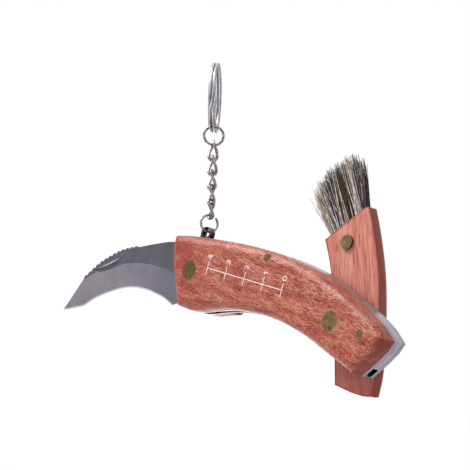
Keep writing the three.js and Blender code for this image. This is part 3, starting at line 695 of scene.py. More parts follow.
for finish, cloud_size, most, tone in PATINAS:
    tint_base(finish, add_clouds(finish.node_tree, BRUSH, cloud_size), most, tone)
tint_along(pin_brass, KNIFE, none_at=30, full_at=0, most=0.5, tone=PIVOT_BROWN)

dress_nodes(liner_steel, "front_liner", "back_liner")
dress_nodes(metals["blade_honed_steel"], "brush_washer")
dress_nodes(spring_steel, "back_spring")
dress_nodes(
    pin_brass, "blade_pivot_pin", "brush_pivot_pin", "spring_pin", "butt_pin", "bristle_rivet")

# %% [markdown]
# ## Wire
# A jump ring and a chain link are one shape: a loop of round wire with two bends, and in a link
# two straight sides between them. A link is also twisted a quarter turn between its bends, which
# is what makes such a chain lie flat. Sweeping a circle along that line gives an even wire, where
# a mesh torus with its faces twisted afterwards would pinch.

# %% A loop of wire


def loop_line(radius, straight, share):
    """Place and direction on a loop with two straight sides, as (x, z) pairs."""
    bend = math.pi * radius
    walk = share % 1 * 2 * (bend + straight)
    if walk < bend:
        angle = walk / radius
        centre = straight / 2
    elif walk < bend + straight:
        return (-radius, straight / 2 - (walk - bend)), (0, -1)
    elif walk < 2 * bend + straight:
        angle = math.pi + (walk - bend - straight) / radius
        centre = -straight / 2
    else:
        return (radius, -straight / 2 + walk - 2 * bend - straight), (0, 1)
    spot = (radius * math.cos(angle), centre + radius * math.sin(angle))
    return spot, (-math.sin(angle), math.cos(angle))


def wire_loop(radius, straight, twist, wire, steps, sides, opening=None):
    """Points and faces of a loop of round wire; an opening is the two shares it stops between."""
    points, faces = [], []
    start, stop = opening or (0, 1)
    rings = steps + 1 if opening else steps
    for step in range(rings):
        share = start + (stop - start) * step / steps
        (x, z), (ahead_x, ahead_z) = loop_line(radius, straight, share)
        for side in range(sides):
            angle = side / sides * 2 * math.pi
            out = wire / 2 * math.cos(angle)
            spot = Vector((x + ahead_z * out, wire / 2 * math.sin(angle), z - ahead_x * out))
            turn = -twist / 2 * math.sin(math.pi / 2 * z / (radius + straight / 2))
            points.append(Matrix.Rotation(turn, 3, "Z") @ spot)
    skin(faces, 0, rings, sides, closed=not opening)
    return points, faces


print("a plain ring of 8 steps and 6 sides has", len(wire_loop(3, 0, 0, 1, 8, 6)[1]), "faces")

# %% [markdown]
# ## Rings and links
# The lower ring is open beside its lowest link, as a ring bent shut by hand is. Each link hooks
# under the next and stands a little further round. A simulation could hang them, but they have to
# stand where the solids do that they replace, so they are placed one by one. The wire of the lower
# ring and the links is a hair thinner than the solids', so that no neighbours touch.

# %% Rings and links
JUMP_WIRE = 0.95
LINK_WIRE = 1.2
PLAY = 0.05
LINK_LENGTH = 7.15
LINK_WIDTH = 3.0
LINK_TWIST = math.pi / 2
LINK_COUNT = 5
LINK_TURN = math.radians(14.5)
FIRST_LINK_TURN = math.radians(-4)
LINK_GAP, HOOK_GAP = 0.45, 0.1
LINK_SHIFT, LOWER_SHIFT = 0.65, 0.25
LOWER_RING_TURN = math.radians(60)
LOWER_RADIUS = 3.12
LOWER_LIFT = 0.6
LOWER_OPENING = (0.158, 1.127)
UPPER_RADIUS = 3.62
WIRE_SIDES = 14
LOWER_STEPS, WIRE_STEPS = 60, 64


def chain_place(up, turn, shift=LINK_SHIFT):
    """The matrix of a ring or link: how high it hangs, how it is turned, how far it is shifted."""
    aside = (shift * math.cos(LOWER_RING_TURN), shift * math.sin(LOWER_RING_TURN), up)
    return CHAIN @ Matrix.Translation(aside) @ Matrix.Rotation(turn, 4, "Z")


def hang(name, loop, place, body):
    """Makes a loop of wire in place of its node."""
    piece = new_mesh_object(name + "_wire", *loop, place)
    settle(piece, body, chain_nickel, [name])


hook = (JUMP_WIRE + LINK_WIRE) / 2 + HOOK_GAP
lower_up = LOWER_LIFT + LOWER_RADIUS
lower_loop = wire_loop(
    LOWER_RADIUS, 0, 0, JUMP_WIRE - PLAY, LOWER_STEPS, WIRE_SIDES, LOWER_OPENING)
lower_place = chain_place(lower_up, LOWER_RING_TURN, LOWER_SHIFT)
hang("lower_jump_ring", lower_loop, lower_place, "lower_ring")

link_loop = wire_loop(
    LINK_WIDTH / 2, LINK_LENGTH - LINK_WIDTH, LINK_TWIST, LINK_WIRE - PLAY, WIRE_STEPS, WIRE_SIDES)
foot = lower_up + LOWER_RADIUS - hook
turn = FIRST_LINK_TURN
for number in range(1, LINK_COUNT + 1):
    place = chain_place(foot + LINK_LENGTH / 2, turn - LINK_TWIST / 2)
    hang(f"chain_link_{number}", link_loop, place, f"link_{number}")
    foot += LINK_LENGTH - (LINK_WIRE + LINK_GAP if number < LINK_COUNT else hook)
    turn += LINK_TURN

upper_up = foot + UPPER_RADIUS
upper_loop = wire_loop(UPPER_RADIUS, 0, 0, JUMP_WIRE, WIRE_STEPS, WIRE_SIDES)
hang("upper_jump_ring", upper_loop, chain_place(upper_up, turn - LINK_TURN), "upper_ring")

# %% [markdown]
# ## Split ring
# A split ring is one flat wire wound twice and pressed shut. Its two turns lie level, except where
# the wire crosses from one to the other. Both ends are ground to a wedge that follows the
# crossing, so that the ring has no step for a key to catch on. A spiral at an even slope would be
# simpler, but it leaves a wedge of air all the way round.

# %% Split ring
SPLIT_RADIUS = 12.55
SPLIT_WIDTH = 1.3
SPLIT_THICKNESS = 1.16
SPLIT_TURN = math.radians(-48.5)
SPLIT_LEAN = math.radians(1.6)
SPLIT_SHIFT = -0.15
SPLIT_END = math.radians(-27)
SPLIT_CROSSING = math.radians(12)
SPLIT_GAP = 0.07
SPLIT_ROUNDING = 0.36
SPLIT_STEPS = 360
ROOM_IN_RING = 0.58
CORNER_STEPS = 4


def rounded_section(width, height, radius):
    """A rectangle with round corners, as points about its middle."""
    outline = []
    for quarter in range(4):
        corner = math.pi / 2 * quarter
        x = (width / 2 - radius) * (1 if quarter in (0, 3) else -1)
        y = (height / 2 - radius) * (1 if quarter in (0, 1) else -1)
        for step in range(CORNER_STEPS + 1):
            angle = corner + math.pi / 2 * step / CORNER_STEPS
            outline.append((x + radius * math.cos(angle), y + radius * math.sin(angle)))
    return outline


def crossed_share(angle):
    """How far the wire has crossed over at an angle from the middle of the crossing."""
    share = min(max((angle + SPLIT_CROSSING) / (2 * SPLIT_CROSSING), 0), 1)
    return share * share * (3 - 2 * share)


def split_ring_mesh():
    """Points and faces of two level turns, with both ends ground to a wedge."""
    points, faces = [], []
    section = rounded_section(SPLIT_WIDTH, SPLIT_THICKNESS, SPLIT_ROUNDING)
    first, last = -SPLIT_CROSSING / 2, 4 * math.pi + SPLIT_CROSSING / 2
    pitch = SPLIT_THICKNESS + SPLIT_GAP
    for step in range(SPLIT_STEPS + 1):
        walked = first + (last - first) * step / SPLIT_STEPS
        level = (crossed_share(walked - 2 * math.pi) - 0.5) * pitch
        room_after_start = crossed_share(walked) * pitch - SPLIT_GAP
        room_before_end = crossed_share(4 * math.pi - walked) * pitch - SPLIT_GAP
        low = SPLIT_THICKNESS / 2 - min(SPLIT_THICKNESS, room_before_end)
        high = min(SPLIT_THICKNESS, room_after_start) - SPLIT_THICKNESS / 2
        angle = walked + SPLIT_END
        for out, side in section:
            radius = SPLIT_RADIUS + out
            across = low + (high - low) * (side / SPLIT_THICKNESS + 0.5)
            points.append((radius * math.cos(angle), level + across, radius * math.sin(angle)))
    skin(faces, 0, SPLIT_STEPS + 1, len(section))
    return points, faces


upper_inner_top = upper_up + UPPER_RADIUS - JUMP_WIRE / 2
split_up = upper_inner_top - ROOM_IN_RING - SPLIT_WIDTH / 2 + SPLIT_RADIUS
lean = Matrix.Rotation(-SPLIT_LEAN, 4, "X") @ Matrix.Translation((0, SPLIT_SHIFT, 0))
split_place = chain_place(split_up, SPLIT_TURN) @ lean
split_ring = new_mesh_object("split_ring_wire", *split_ring_mesh(), split_place)
settle(split_ring, "split_ring", metals["ring_nickel"], ["split_ring"])

# %% [markdown]
# ## The split ring's finish
# Drawn wire has long fine streaks that follow it round. The flat outer and inner faces are bright,
# while the sides are darkened by a painted reflection of the dark of the other turn. Brush marks
# along a straight line would cut across the ring, so the streaks are read at the angle round its
# axis instead.

# %% Streaks round the ring
RADIAL_STREAKS, SIDE_STREAKS = 2.0, 2.6
STREAK_SCALE = 1.4
STREAK_RANGE = (0.5, 0.6)
STREAK_TONE = (96, 90, 96)
SIDE_PAINTED_REFLECTION = (60, 56, 60)


def streak_round(finish, matrix, most, tone):
    """Draws long streaks that follow a ring round its axis."""
    tree = finish.node_tree
    place = add_place(tree, matrix)
    x, y, z = add_parts(tree, place)
    flat = add_vector_math(tree, "MULTIPLY", place, (1, 0, 1))
    radius = add_vector_math(tree, "LENGTH", flat, output="Value")
    spot = add_vector(
        tree, add_math(tree, "ARCTAN2", z, x), add_math(tree, "MULTIPLY", radius, RADIAL_STREAKS),
        add_math(tree, "MULTIPLY", y, SIDE_STREAKS))
    streaks = add_noise(tree, spot, detail=2.0, scale=STREAK_SCALE)
    tint_base(finish, add_range(tree, streaks, *STREAK_RANGE), most, tone)


ring_axis = (split_place.to_3x3() @ Vector((0, 1, 0))).normalized()
streak_round(metals["ring_nickel"], split_place, most=0.75, tone=STREAK_TONE)
# Painted reflection: the ring's sides are darkened as if they mirrored the other turn.
tint_facing(
    metals["ring_nickel"], ring_axis, none_at=0.2, full_at=0.75, most=1.0, tone=SIDE_PAINTED_REFLECTION)
print("ring axis", [round(x, 2) for x in ring_axis])

# %% [markdown]
# ## The blade's outline
# The blade is a curved hook. Its spine and its cutting edge are given by a few places each, as
# shares of the blade's reach and the handle's width, and a smooth curve goes through them. Points
# at even distances along that curve keep the teeth and the faces even.

# %% The blade's outline
BLADE_REACH = 81
HANDLE_WIDTH = 27
BLADE_POINT = (-0.9345, -1.086)
CLIP_CORNER = (-0.833, -0.564)
SPINE = [
    CLIP_CORNER, (-0.748, -0.303), (-0.684, -0.162), (-0.627, -0.0555), (-0.5815, 0.0075),
    (-0.52, 0.0705), (-0.399, 0.192), (-0.27, 0.3), (-0.1705, 0.3075),
]
EDGE_CORNER = (-0.7975, -0.941)
CUTTING_EDGE = [
    EDGE_CORNER, (-0.7136, -0.759), (-0.6086, -0.6), (-0.5136, -0.496), (-0.4111, -0.448),
    (-0.3173, -0.456), (-0.242, -0.4815), (-0.178, -0.5355),
]
CURVE_STEPS = 400


def blade_place(share):
    """A place on the blade in millimetres, from its shares."""
    return Vector((share[0] * BLADE_REACH, share[1] * HANDLE_WIDTH))


def spline(points, share):
    """A point on a smooth curve through points, by number of points passed."""
    spot = share * (len(points) - 1)
    before = min(int(spot), len(points) - 2)
    step = spot - before
    at = [points[min(max(before + k, 0), len(points) - 1)] for k in (-1, 0, 1, 2)]
    start, stop = (at[2] - at[0]) / 2, (at[3] - at[1]) / 2
    cubic = (2 * at[1] - 2 * at[2] + start + stop) * step ** 3
    square = (-3 * at[1] + 3 * at[2] - 2 * start - stop) * step ** 2
    return cubic + square + start * step + at[1]


def even_curve(shares, count):
    """Points at even distances along a smooth curve, in millimetres."""
    points = [blade_place(share) for share in shares]
    fine = [spline(points, step / CURVE_STEPS) for step in range(CURVE_STEPS + 1)]
    walked = [0]
    for one, two in zip(fine, fine[1:]):
        walked.append(walked[-1] + (two - one).length)
    spots, at = [], 0
    for step in range(count + 1):
        goal = walked[-1] * step / count
        while at < CURVE_STEPS - 1 and walked[at + 1] < goal:
            at += 1
        within = (goal - walked[at]) / (walked[at + 1] - walked[at])
        spots.append(fine[at].lerp(fine[at + 1], min(within, 1)))
    return spots


clip_end, heel_end = even_curve(SPINE, 1)
print("from clip to heel:", round((heel_end - clip_end).length), "mm")

# %% [markdown]
# ## Sections of the blade
# The blade is flat at its spine and ground down to its edge, and both change on the way. It could
# be carved from a plate with booleans, but a row of sections is easier to steer. Each runs from
# the spine down to the edge. They go from the point along the toothed spine to the heel, where
# each is cut short by the line of the kick.

# %% Blade sections
BLADE_HALF = 1.1
POINT_HALF = 0.3
TOOTH_DEPTH = 0.7
STEPS_A_TOOTH = 8
TOOTH_COUNT = 13
TOOTHED_SHARE = 0.54
POINT_STEPS = 8
POINT_SETBACK = 0.34
HEEL_STEPS = 24
GRIND_SHARES = [0.05, 0.2, 0.37, 0.37, 0.41, 0.455, 0.5, 0.53]
HEEL_GRIND_SHARE = 0.645
TANG_TOP = Vector((-3, 8.2))
TANG_FOOT = Vector((-2.53, -7.8))
KICK = Vector((-10.53, -12.72))


def crossing(start, stop, one, two):
    """How far along start to stop the line through one and two is met."""
    ahead, across = stop - start, two - one
    return (one - start).cross(across) / ahead.cross(across)


def blade_sections():
    """(toothed spine, smooth spine, edge, grind share, half thickness, share kept) to the heel."""
    tip, clip, corner = map(blade_place, (BLADE_POINT, CLIP_CORNER, EDGE_CORNER))
    sections = []
    for step in range(POINT_STEPS):
        along = (step + POINT_SETBACK) / POINT_STEPS
        thick = POINT_HALF + (BLADE_HALF - POINT_HALF) * along
        top = tip.lerp(clip, along)
        bottom = tip.lerp(corner, step / POINT_STEPS)
        sections.append((top, top, bottom, GRIND_SHARES[0], thick, 1))
    tooth_steps = TOOTH_COUNT * STEPS_A_TOOTH
    count = round(tooth_steps / TOOTHED_SHARE)
    spine = even_curve(SPINE, count)
    edge = even_curve(CUTTING_EDGE, count)
    shares = [Vector((share, 0)) for share in GRIND_SHARES]
    for step in range(count + 1):
        top = spine[step].copy()
        if step < tooth_steps:
            ahead = (spine[step + 1] - spine[step]).normalized()
            rise = math.sin(math.pi * (step % STEPS_A_TOOTH) / STEPS_A_TOOTH)
            top += Vector((-ahead.y, ahead.x)) * TOOTH_DEPTH * rise
        grind = spline(shares, step / count).x
        sections.append((top, spine[step], edge[step], grind, BLADE_HALF, 1))
    onward = (edge[-1] - edge[-2]).normalized()
    for step in range(1, HEEL_STEPS + 1):
        along = step / HEEL_STEPS
        top = spine[-1].lerp(TANG_TOP, along)
        bottom = edge[-1] + onward * (TANG_TOP.x - edge[-1].x) * along
        kept = min(crossing(top, bottom, *line) for line in ((edge[-1], KICK), (KICK, TANG_FOOT)))
        grind = GRIND_SHARES[-1] + (HEEL_GRIND_SHARE - GRIND_SHARES[-1]) * along
        sections.append((top, top, bottom, grind, BLADE_HALF, kept))
    return sections


print("blade sections:", len(blade_sections()))

# %% [markdown]
# ## Ground faces
# The blade's flat is brushed, the grind below it is ground, and the edge is honed. Their tones are
# partly these finishes and partly painted reflection: the flat dark, the grind lighter, the honed
# edge a painted bright line. Painting them on one face would blur the borders, so each is its own
# band of faces with its own finish, and a real crease lies between. A section gets five places on
# each side: the spine, its chamfer, the line of the grind, the line of the honing, and the edge.

# %% Skin of the blade
EDGE_HALF = 0.1
CLOSED_HALF = 0.02
HONE_WIDTH = 0.55
CUT_MARGIN = 0.004
SPINE_CHAMFER = 0.14
FLAT, GROUND, HONED, GROOVED = range(4)
WHOLE_BANDS = [FLAT, FLAT, GROUND, HONED, HONED, HONED, GROUND, FLAT, FLAT, FLAT]
CUT_BANDS = [FLAT, FLAT, GROUND, GROUND, GROUND, GROUND, GROUND, FLAT, FLAT, FLAT]
SECTION_SIDES = len(WHOLE_BANDS)


def blade_mesh():
    """Points, faces and the finish number of each face."""
    points, faces, finishes = [], [], []
    sections = blade_sections()
    for top, smooth_top, bottom, share, half, kept in sections:
        grind = smooth_top.lerp(bottom, share)
        down = (bottom - smooth_top).normalized()
        hone_share = 1 - (1 - share) * min(HONE_WIDTH / (bottom - grind).length, 0.5)
        side = [(top, half - SPINE_CHAMFER), (top + down * SPINE_CHAMFER, half), (grind, half)]
        for reach in (min(hone_share, kept - CUT_MARGIN), kept):
            sunk = half + (EDGE_HALF - half) * (reach - share) / (1 - share)
            side.append((smooth_top.lerp(bottom, reach), CLOSED_HALF if reach == 1 else sunk))
        points += [(spot.x, -across, spot.y) for spot, across in side]
        points += [(spot.x, across, spot.y) for spot, across in reversed(side)]
    for section in sections[1:]:
        finishes += WHOLE_BANDS if section[-1] == 1 else CUT_BANDS
    skin(faces, 0, len(sections), SECTION_SIDES)
    return points, faces, finishes + [FLAT, FLAT]


*blade_shape, blade_finishes = blade_mesh()
print("blade:", len(blade_shape[1]), "faces before it is cut")

# %% [markdown]
# ## Nail groove
# A thumb nail catches in a groove on the blade's front to open it. The side of a grinding wheel
# cut it, so it is steep at its straight upper side and shallow towards its curved lower side. Dark
# paint would show it from the front alone, so it is really cut: with a wedge swept along that
# line. Its faces carry finishes into the steel: the steep wall the bright honed one, a painted
# highlight, and the ramp a darker one, painted shade.

# %% The groove's cutter
GROOVE_HIGH = Vector((-47.4, -2.0))
GROOVE_LOW = Vector((-63.0, -11.2))
GROOVE_BULGE = 2.7
GROOVE_DEPTH = 0.62
GROOVE_STEEP = 0.15
GROOVE_STEPS = 40
GROOVE_START, GROOVE_RUN = 0.01, 0.98
WIDTH_POWER, DEPTH_POWER = 0.8, 0.4
CUTTER_RISE = 0.5


def groove_cutter():
    """A swept wedge, and the finish number of each of its faces."""
    points, faces = [], []
    ahead = GROOVE_HIGH - GROOVE_LOW
    down = Vector((ahead.y, -ahead.x)).normalized()
    for step in range(GROOVE_STEPS + 1):
        share = GROOVE_START + GROOVE_RUN * step / GROOVE_STEPS
        fullness = 4 * share * (1 - share)
        upper = GROOVE_LOW + ahead * share
        width = GROOVE_BULGE * fullness ** WIDTH_POWER
        depth = GROOVE_DEPTH * fullness ** DEPTH_POWER
        steep = down * width * GROOVE_STEEP
        shallow = width * (1 - GROOVE_STEEP)
        for spot, across in (
            (upper - steep * CUTTER_RISE / depth, -BLADE_HALF - CUTTER_RISE),
            (upper + steep, -BLADE_HALF + depth),
            (upper + down * (width + shallow * CUTTER_RISE / depth), -BLADE_HALF - CUTTER_RISE),
        ):
            points.append((spot.x, across, spot.y))
    skin(faces, 0, GROOVE_STEPS + 1, 3)
    # The steep wall gets the bright honed finish, a painted highlight; the ramp and the ends get
    # the groove's darker finish, painted shade.
    bands = [HONED, GROOVED, GROOVED] * GROOVE_STEPS
    return points, faces, bands + [GROOVED, GROOVED]


*cutter_shape, cutter_finishes = groove_cutter()
print("groove cutter:", len(cutter_finishes), "faces")

# %% [markdown]
# ## Tang, and the finished blade
# The tang is a flat plate that carries on from the heel round the pivot. Weaving its round outline
# into the ground sections would tangle the bands of faces, so a boolean joins it to them, and two
# more cut the nail groove and the pivot's hole.

# %% Tang and booleans
TANG_RADIUS = 8.2
TANG_LAP = 0.4
TANG_LOW = -7.9
TANG_STEPS = 48
TANG_FROM, TANG_SWEEP = 90, 198
BORE_RADIUS = 2.48
BORE_SIDES = 64
BORE_REACH = 3
BLADE_SHARP_BANDS, BLADE_SHARP_DEGREES = 4, 3.5
BLADE_STEELS = (
    "blade_flat_steel", "blade_ground_steel", "blade_honed_steel", "blade_groove_shaded_steel")


def round_spots(radius, angles):
    """Places on a circle about the pivot."""
    return [(radius * math.cos(angle), radius * math.sin(angle)) for angle in angles]


def prism(name, outline, half):
    """A flat outline of (x, z) places, as thick to both sides."""
    count = len(outline)
    points = [(x, across, z) for across in (-half, half) for x, z in outline]
    faces = [tuple(range(count)), tuple(range(2 * count - 1, count - 1, -1))]
    for side in range(count):
        after = (side + 1) % count
        faces.append((side, side + count, after + count, after))
    return new_mesh_object(name, points, faces, KNIFE)


def paint_faces(piece, finish_numbers):
    """Gives each face one of the blade's finishes, by number."""
    for name in BLADE_STEELS:
        piece.data.materials.append(metals[name])
    for face, number in zip(piece.data.polygons, finish_numbers):
        face.material_index = number


def combine(target, tool, operation):
    """Applies a boolean and removes the tool."""
    modifier = target.modifiers.new(operation.lower(), "BOOLEAN")
    modifier.operation = operation
    modifier.object = tool
    modifier.solver = "EXACT"
    graph = bpy.context.evaluated_depsgraph_get()
    result = bpy.data.meshes.new_from_object(target.evaluated_get(graph))
    target.modifiers.clear()
    target.data = result
    bpy.data.objects.remove(tool)


blade = new_mesh_object("blade_ground", *blade_shape, KNIFE, BLADE_SHARP_BANDS)
paint_faces(blade, blade_finishes)
sweep = [TANG_FROM - TANG_SWEEP * step / TANG_STEPS for step in range(TANG_STEPS + 1)]
tang_outline = [
    (TANG_TOP.x - TANG_LAP, TANG_TOP.y), *round_spots(TANG_RADIUS, map(math.radians, sweep)),
    (TANG_TOP.x - TANG_LAP, TANG_LOW),
]
combine(blade, prism("tang", tang_outline, BLADE_HALF), "UNION")
cutter = new_mesh_object("groove", *cutter_shape, KNIFE)
paint_faces(cutter, cutter_finishes)
combine(blade, cutter, "DIFFERENCE")
turn_round = [2 * math.pi * side / BORE_SIDES for side in range(BORE_SIDES)]
combine(blade, prism("bore", round_spots(BORE_RADIUS, turn_round), BORE_REACH), "DIFFERENCE")
shade(blade.data, BLADE_SHARP_DEGREES)
settle(blade, "blade", replaces=["blade"])

# %% [markdown]
# ## Bristles
# The brush is real hair: black, brown, grey and straw-coloured strands in loose clumps, thicker at
# the foot than at the tip, most of them straight and some of them stray. A hair system would not
# reach the exported model, so a strand is a thin tube of five sides that bends a little on its way
# out. Each colour is one piece, so that each can have its own finish.

# %% One strand, and which colour grows where
CUT_PLACE = (-36.65, 2.85, 0)
CUT_TURN = math.radians(173)
BRUSH_CUT = BRUSH @ Matrix.Translation(CUT_PLACE) @ Matrix.Rotation(CUT_TURN, 4, "Y")
HAIR_KINDS = ("black", "brown", "grey", "straw")
DARK_SHARES = [0.2, 0.3, 0.35, 0.85, 0.95, 0.9, 0.85, 0.55, 0.35, 0.45, 0.9]
STRAW_SHARES = [0.5, 0.8, 0.8, 0.3, 0.2, 0.2, 0.3, 0.7, 0.8, 0.6, 0.1]
BLACK_SHARE = 0.55
ALIKE = 0.5
PATCHES, PATCH_ROWS, PATCH_START = 34, 2, 3.7
STRAND_SIDES = 5
STRAND_STEPS = 7
TAPER, TAPER_POWER = 0.55, 1.5


def along_list(values, share):
    """A value between two neighbours of a list."""
    spot = share * (len(values) - 1)
    before = min(int(spot), len(values) - 2)
    return values[before] + (values[before + 1] - values[before]) * (spot - before)


def strand(points, faces, foot, tip, sway, radius):
    """One tapered hair from its foot to its tip, bent by a sway halfway."""
    first = len(points)
    for step in range(STRAND_STEPS):
        share = step / (STRAND_STEPS - 1)
        centre = foot.lerp(tip, share) + sway * 4 * share * (1 - share) * share
        thick = radius * (1 - TAPER * share ** TAPER_POWER)
        for side in range(STRAND_SIDES):
            angle = side / STRAND_SIDES * 2 * math.pi
            points.append(centre + Vector((0, thick * math.cos(angle), thick * math.sin(angle))))
    skin(faces, first, STRAND_STEPS, STRAND_SIDES)


def hair_kind(across, row, dice):
    """Which colour grows here: neighbours tend to be alike."""
    dark = along_list(DARK_SHARES, across)
    dark += ALIKE * noise.noise(Vector((across * PATCHES, row * PATCH_ROWS, PATCH_START)))
    if dice.random() < dark:
        return "black" if dice.random() < BLACK_SHARE else "brown"
    return "straw" if dice.random() < along_list(STRAW_SHARES, across) else "grey"


print("hair colours:", ", ".join(HAIR_KINDS))

# %% [markdown]
# ## Growing the brush
# The hair stands in a slot across the slanted end of the arm. It fans out to one side, ends at
# uneven lengths in clumps, and a fifth of it is loose. Dice with a fixed start give the same brush
# each time. Last come a few hairs in front that cross the others, as in the photograph.

# %% Grow the strands
BRISTLE_SPAN = 17.6
BRISTLE_MIDDLE = -5.6
BRISTLE_LENGTH = 24
BRISTLE_THICK = 3.2
STRAND_COUNT = 860
CROSSING_COUNT = 16
LENGTH_SHARES = [0.9, 0.94, 0.97, 1.0, 1.0, 0.95, 0.85]
FAN_HIGH, FAN_LOW, FAN_LEAST = 0.6, -4.6, -6.0
FAN_SPREAD, FAN_FRINGE = 0.5, (-1.2, 1.4)
FOOT_DEPTH, FOOT_MARGIN = -1.2, 0.15
CLUMPING, CLUMP_MOST = 0.26, 0.1
CLUMPS, CLUMP_ROWS, CLUMP_START = 9, 0.6, 9.1
LENGTH_SPREAD = 0.1
LOOSE_SHARE = 0.2
LOOSE_FAN, LOOSE_SPREAD, LOOSE_REACH = 0.3, 3.0, (0.75, 1.02)
ROW_SPREAD, TIP_SPREAD = 0.7, 0.25
SWAY_THROUGH, SWAY_UP = 0.2, 0.45
STRAND_RADIUS = (0.1, 0.16)
CROSSING_DEPTH, CROSSING_RADIUS = -0.8, 0.15
CROSSING_FEET, CROSSING_REACH = (0.15, 0.9), (0.8, 0.94)
CROSSING_LEAN, CROSSING_SWAY = 3.5, 0.9
CROSSING_OUT, CROSSING_BOW = 0.5, 0.1
DICE_START = 7

dice = random.Random(DICE_START)
hair = {kind: ([], []) for kind in HAIR_KINDS}
high = BRISTLE_MIDDLE + BRISTLE_SPAN / 2


def fan_at(across):
    """How far a tip leans aside, from one end of the slot to the other."""
    return FAN_HIGH + (FAN_LOW - FAN_HIGH) * across


for number in range(STRAND_COUNT):
    across = (number + dice.random()) / STRAND_COUNT
    row = dice.uniform(-1, 1)
    foot_up = high - FOOT_MARGIN - across * (BRISTLE_SPAN - 2 * FOOT_MARGIN)
    foot = Vector((FOOT_DEPTH, row * (BRISTLE_THICK / 2 - FOOT_MARGIN), foot_up))
    fan = fan_at(across) + dice.gauss(0, FAN_SPREAD)
    clump = noise.noise(Vector((across * CLUMPS, row * CLUMP_ROWS, CLUMP_START)))
    reach = BRISTLE_LENGTH * along_list(LENGTH_SHARES, across)
    reach *= (1 + CLUMPING * min(clump, CLUMP_MOST)) * (1 - abs(dice.gauss(0, LENGTH_SPREAD)))
    if dice.random() < LOOSE_SHARE:
        fan += dice.gauss(LOOSE_FAN, LOOSE_SPREAD)
        reach *= dice.uniform(*LOOSE_REACH)
    fan = max(fan, FAN_LEAST + dice.uniform(*FAN_FRINGE))
    reach = min(reach, BRISTLE_LENGTH)
    tip = Vector((reach, foot.y + row * ROW_SPREAD + dice.gauss(0, TIP_SPREAD), foot.z + fan))
    sway = Vector((0, dice.gauss(0, SWAY_THROUGH), dice.gauss(0, SWAY_UP)))
    kind = hair_kind(across, row, dice)
    strand(*hair[kind], foot, tip, sway, dice.uniform(*STRAND_RADIUS))

for number in range(CROSSING_COUNT):
    across = dice.uniform(*CROSSING_FEET)
    foot = Vector((CROSSING_DEPTH, -BRISTLE_THICK / 2, high - across * BRISTLE_SPAN))
    fan = max(fan_at(across) + dice.uniform(-CROSSING_LEAN, CROSSING_LEAN), FAN_LEAST)
    reach = BRISTLE_LENGTH * dice.uniform(*CROSSING_REACH)
    tip = Vector((reach, foot.y - CROSSING_OUT, foot.z + fan))
    sway = Vector((0, -CROSSING_BOW, dice.gauss(0, CROSSING_SWAY)))
    strand(*hair["grey" if number % 2 else "straw"], foot, tip, sway, CROSSING_RADIUS)
print("strands:", STRAND_COUNT + CROSSING_COUNT)

# %% [markdown]
# ## Hair finishes
# No two hairs of one colour are quite alike, and old hair is paler in places. The clouds of the
# tarnish group give that: each colour runs between a dark and a light tone over a millimetre or
# so. A hair shader would shine more truly, but a plain one is what the exported model can keep.

# %% Hair finishes
HAIR_TONES = {
    "black": ((20, 15, 17), (44, 36, 40)),
    "brown": ((62, 48, 38), (104, 88, 70)),
    "grey": ((166, 158, 164), (228, 220, 224)),
    "straw": ((184, 166, 140), (234, 218, 198)),
}
HAIR_LOOK = {"Roughness": 0.5, "Specular IOR Level": 0.5}
HAIR_CLOUDS = 1.2
HAIR_SHARP_DEGREES = 80


def cloudy_finish(name, matrix, cloud_size, dark, light, plain):
    """A plain finish that drifts between two tones."""
    finish, tree, sockets = new_finish(name, plain)
    clouds = add_clouds(tree, matrix, cloud_size)
    tree.links.new(add_mix(tree, clouds, linear(*dark), linear(*light)), sockets["Base Color"])
    return finish


def hair_finish(kind, dark, light):
    """The finish of one colour of hair."""
    return cloudy_finish("hair_" + kind, BRUSH_CUT, HAIR_CLOUDS, dark, light, HAIR_LOOK)


for number, kind in enumerate(HAIR_KINDS, 1):
    tuft = new_mesh_object("bristles_" + kind, *hair[kind], BRUSH_CUT, HAIR_SHARP_DEGREES)
    finish = hair_finish(kind, *HAIR_TONES[kind])
    settle(tuft, "brush", finish, [f"bristle_tuft_{number}"])

# %% [markdown]
# ## Dark backing
# The hairs are set in a strip that fills the slot in the arm. Its dark tone is painted shade:
# between the hairs it shows as shadow, and without it light would show through at their feet. It
# is a rounded bar whose outer end narrows a little, so that it doesn't meet the wood in a hard
# line.

# %% The backing that the bristles are set in
BACKING_ROUNDING = 0.5
BACKING_INSET = 0.3
BACKING_RINGS = ((-9.9, 0), (-1.0, 0), (-0.6, BACKING_INSET))
# Dark tones that paint the shade between the hairs.
BACKING_SHADE_TONES = ((60, 46, 40), (84, 66, 56))

section = rounded_section(BRISTLE_THICK, BRISTLE_SPAN, BACKING_ROUNDING)
backing_points, backing_faces = [], []
for depth, inset in BACKING_RINGS:
    for across, up in section:
        narrowed = up * (1 - inset / BRISTLE_SPAN)
        thinned = across * (1 - inset / BRISTLE_THICK)
        backing_points.append((depth, thinned, BRISTLE_MIDDLE + narrowed))
skin(backing_faces, 0, len(BACKING_RINGS), len(section))
backing = new_mesh_object("bristle_backing", backing_points, backing_faces, BRUSH_CUT)
settle(backing, "brush", hair_finish("backing", *BACKING_SHADE_TONES))

# %% [markdown]
# ## Ruler
# The front of the handle carries a small printed ruler: a line with five marks ten millimetres
# apart, numbered from the butt end. Print is a very thin layer. It could be a picture on the wood,
# but a thin ribbon that lies on it stays sharp from near by. The numbers are strokes, too. A
# stroke that crosses another lies a little higher, because two faces at one height flicker.

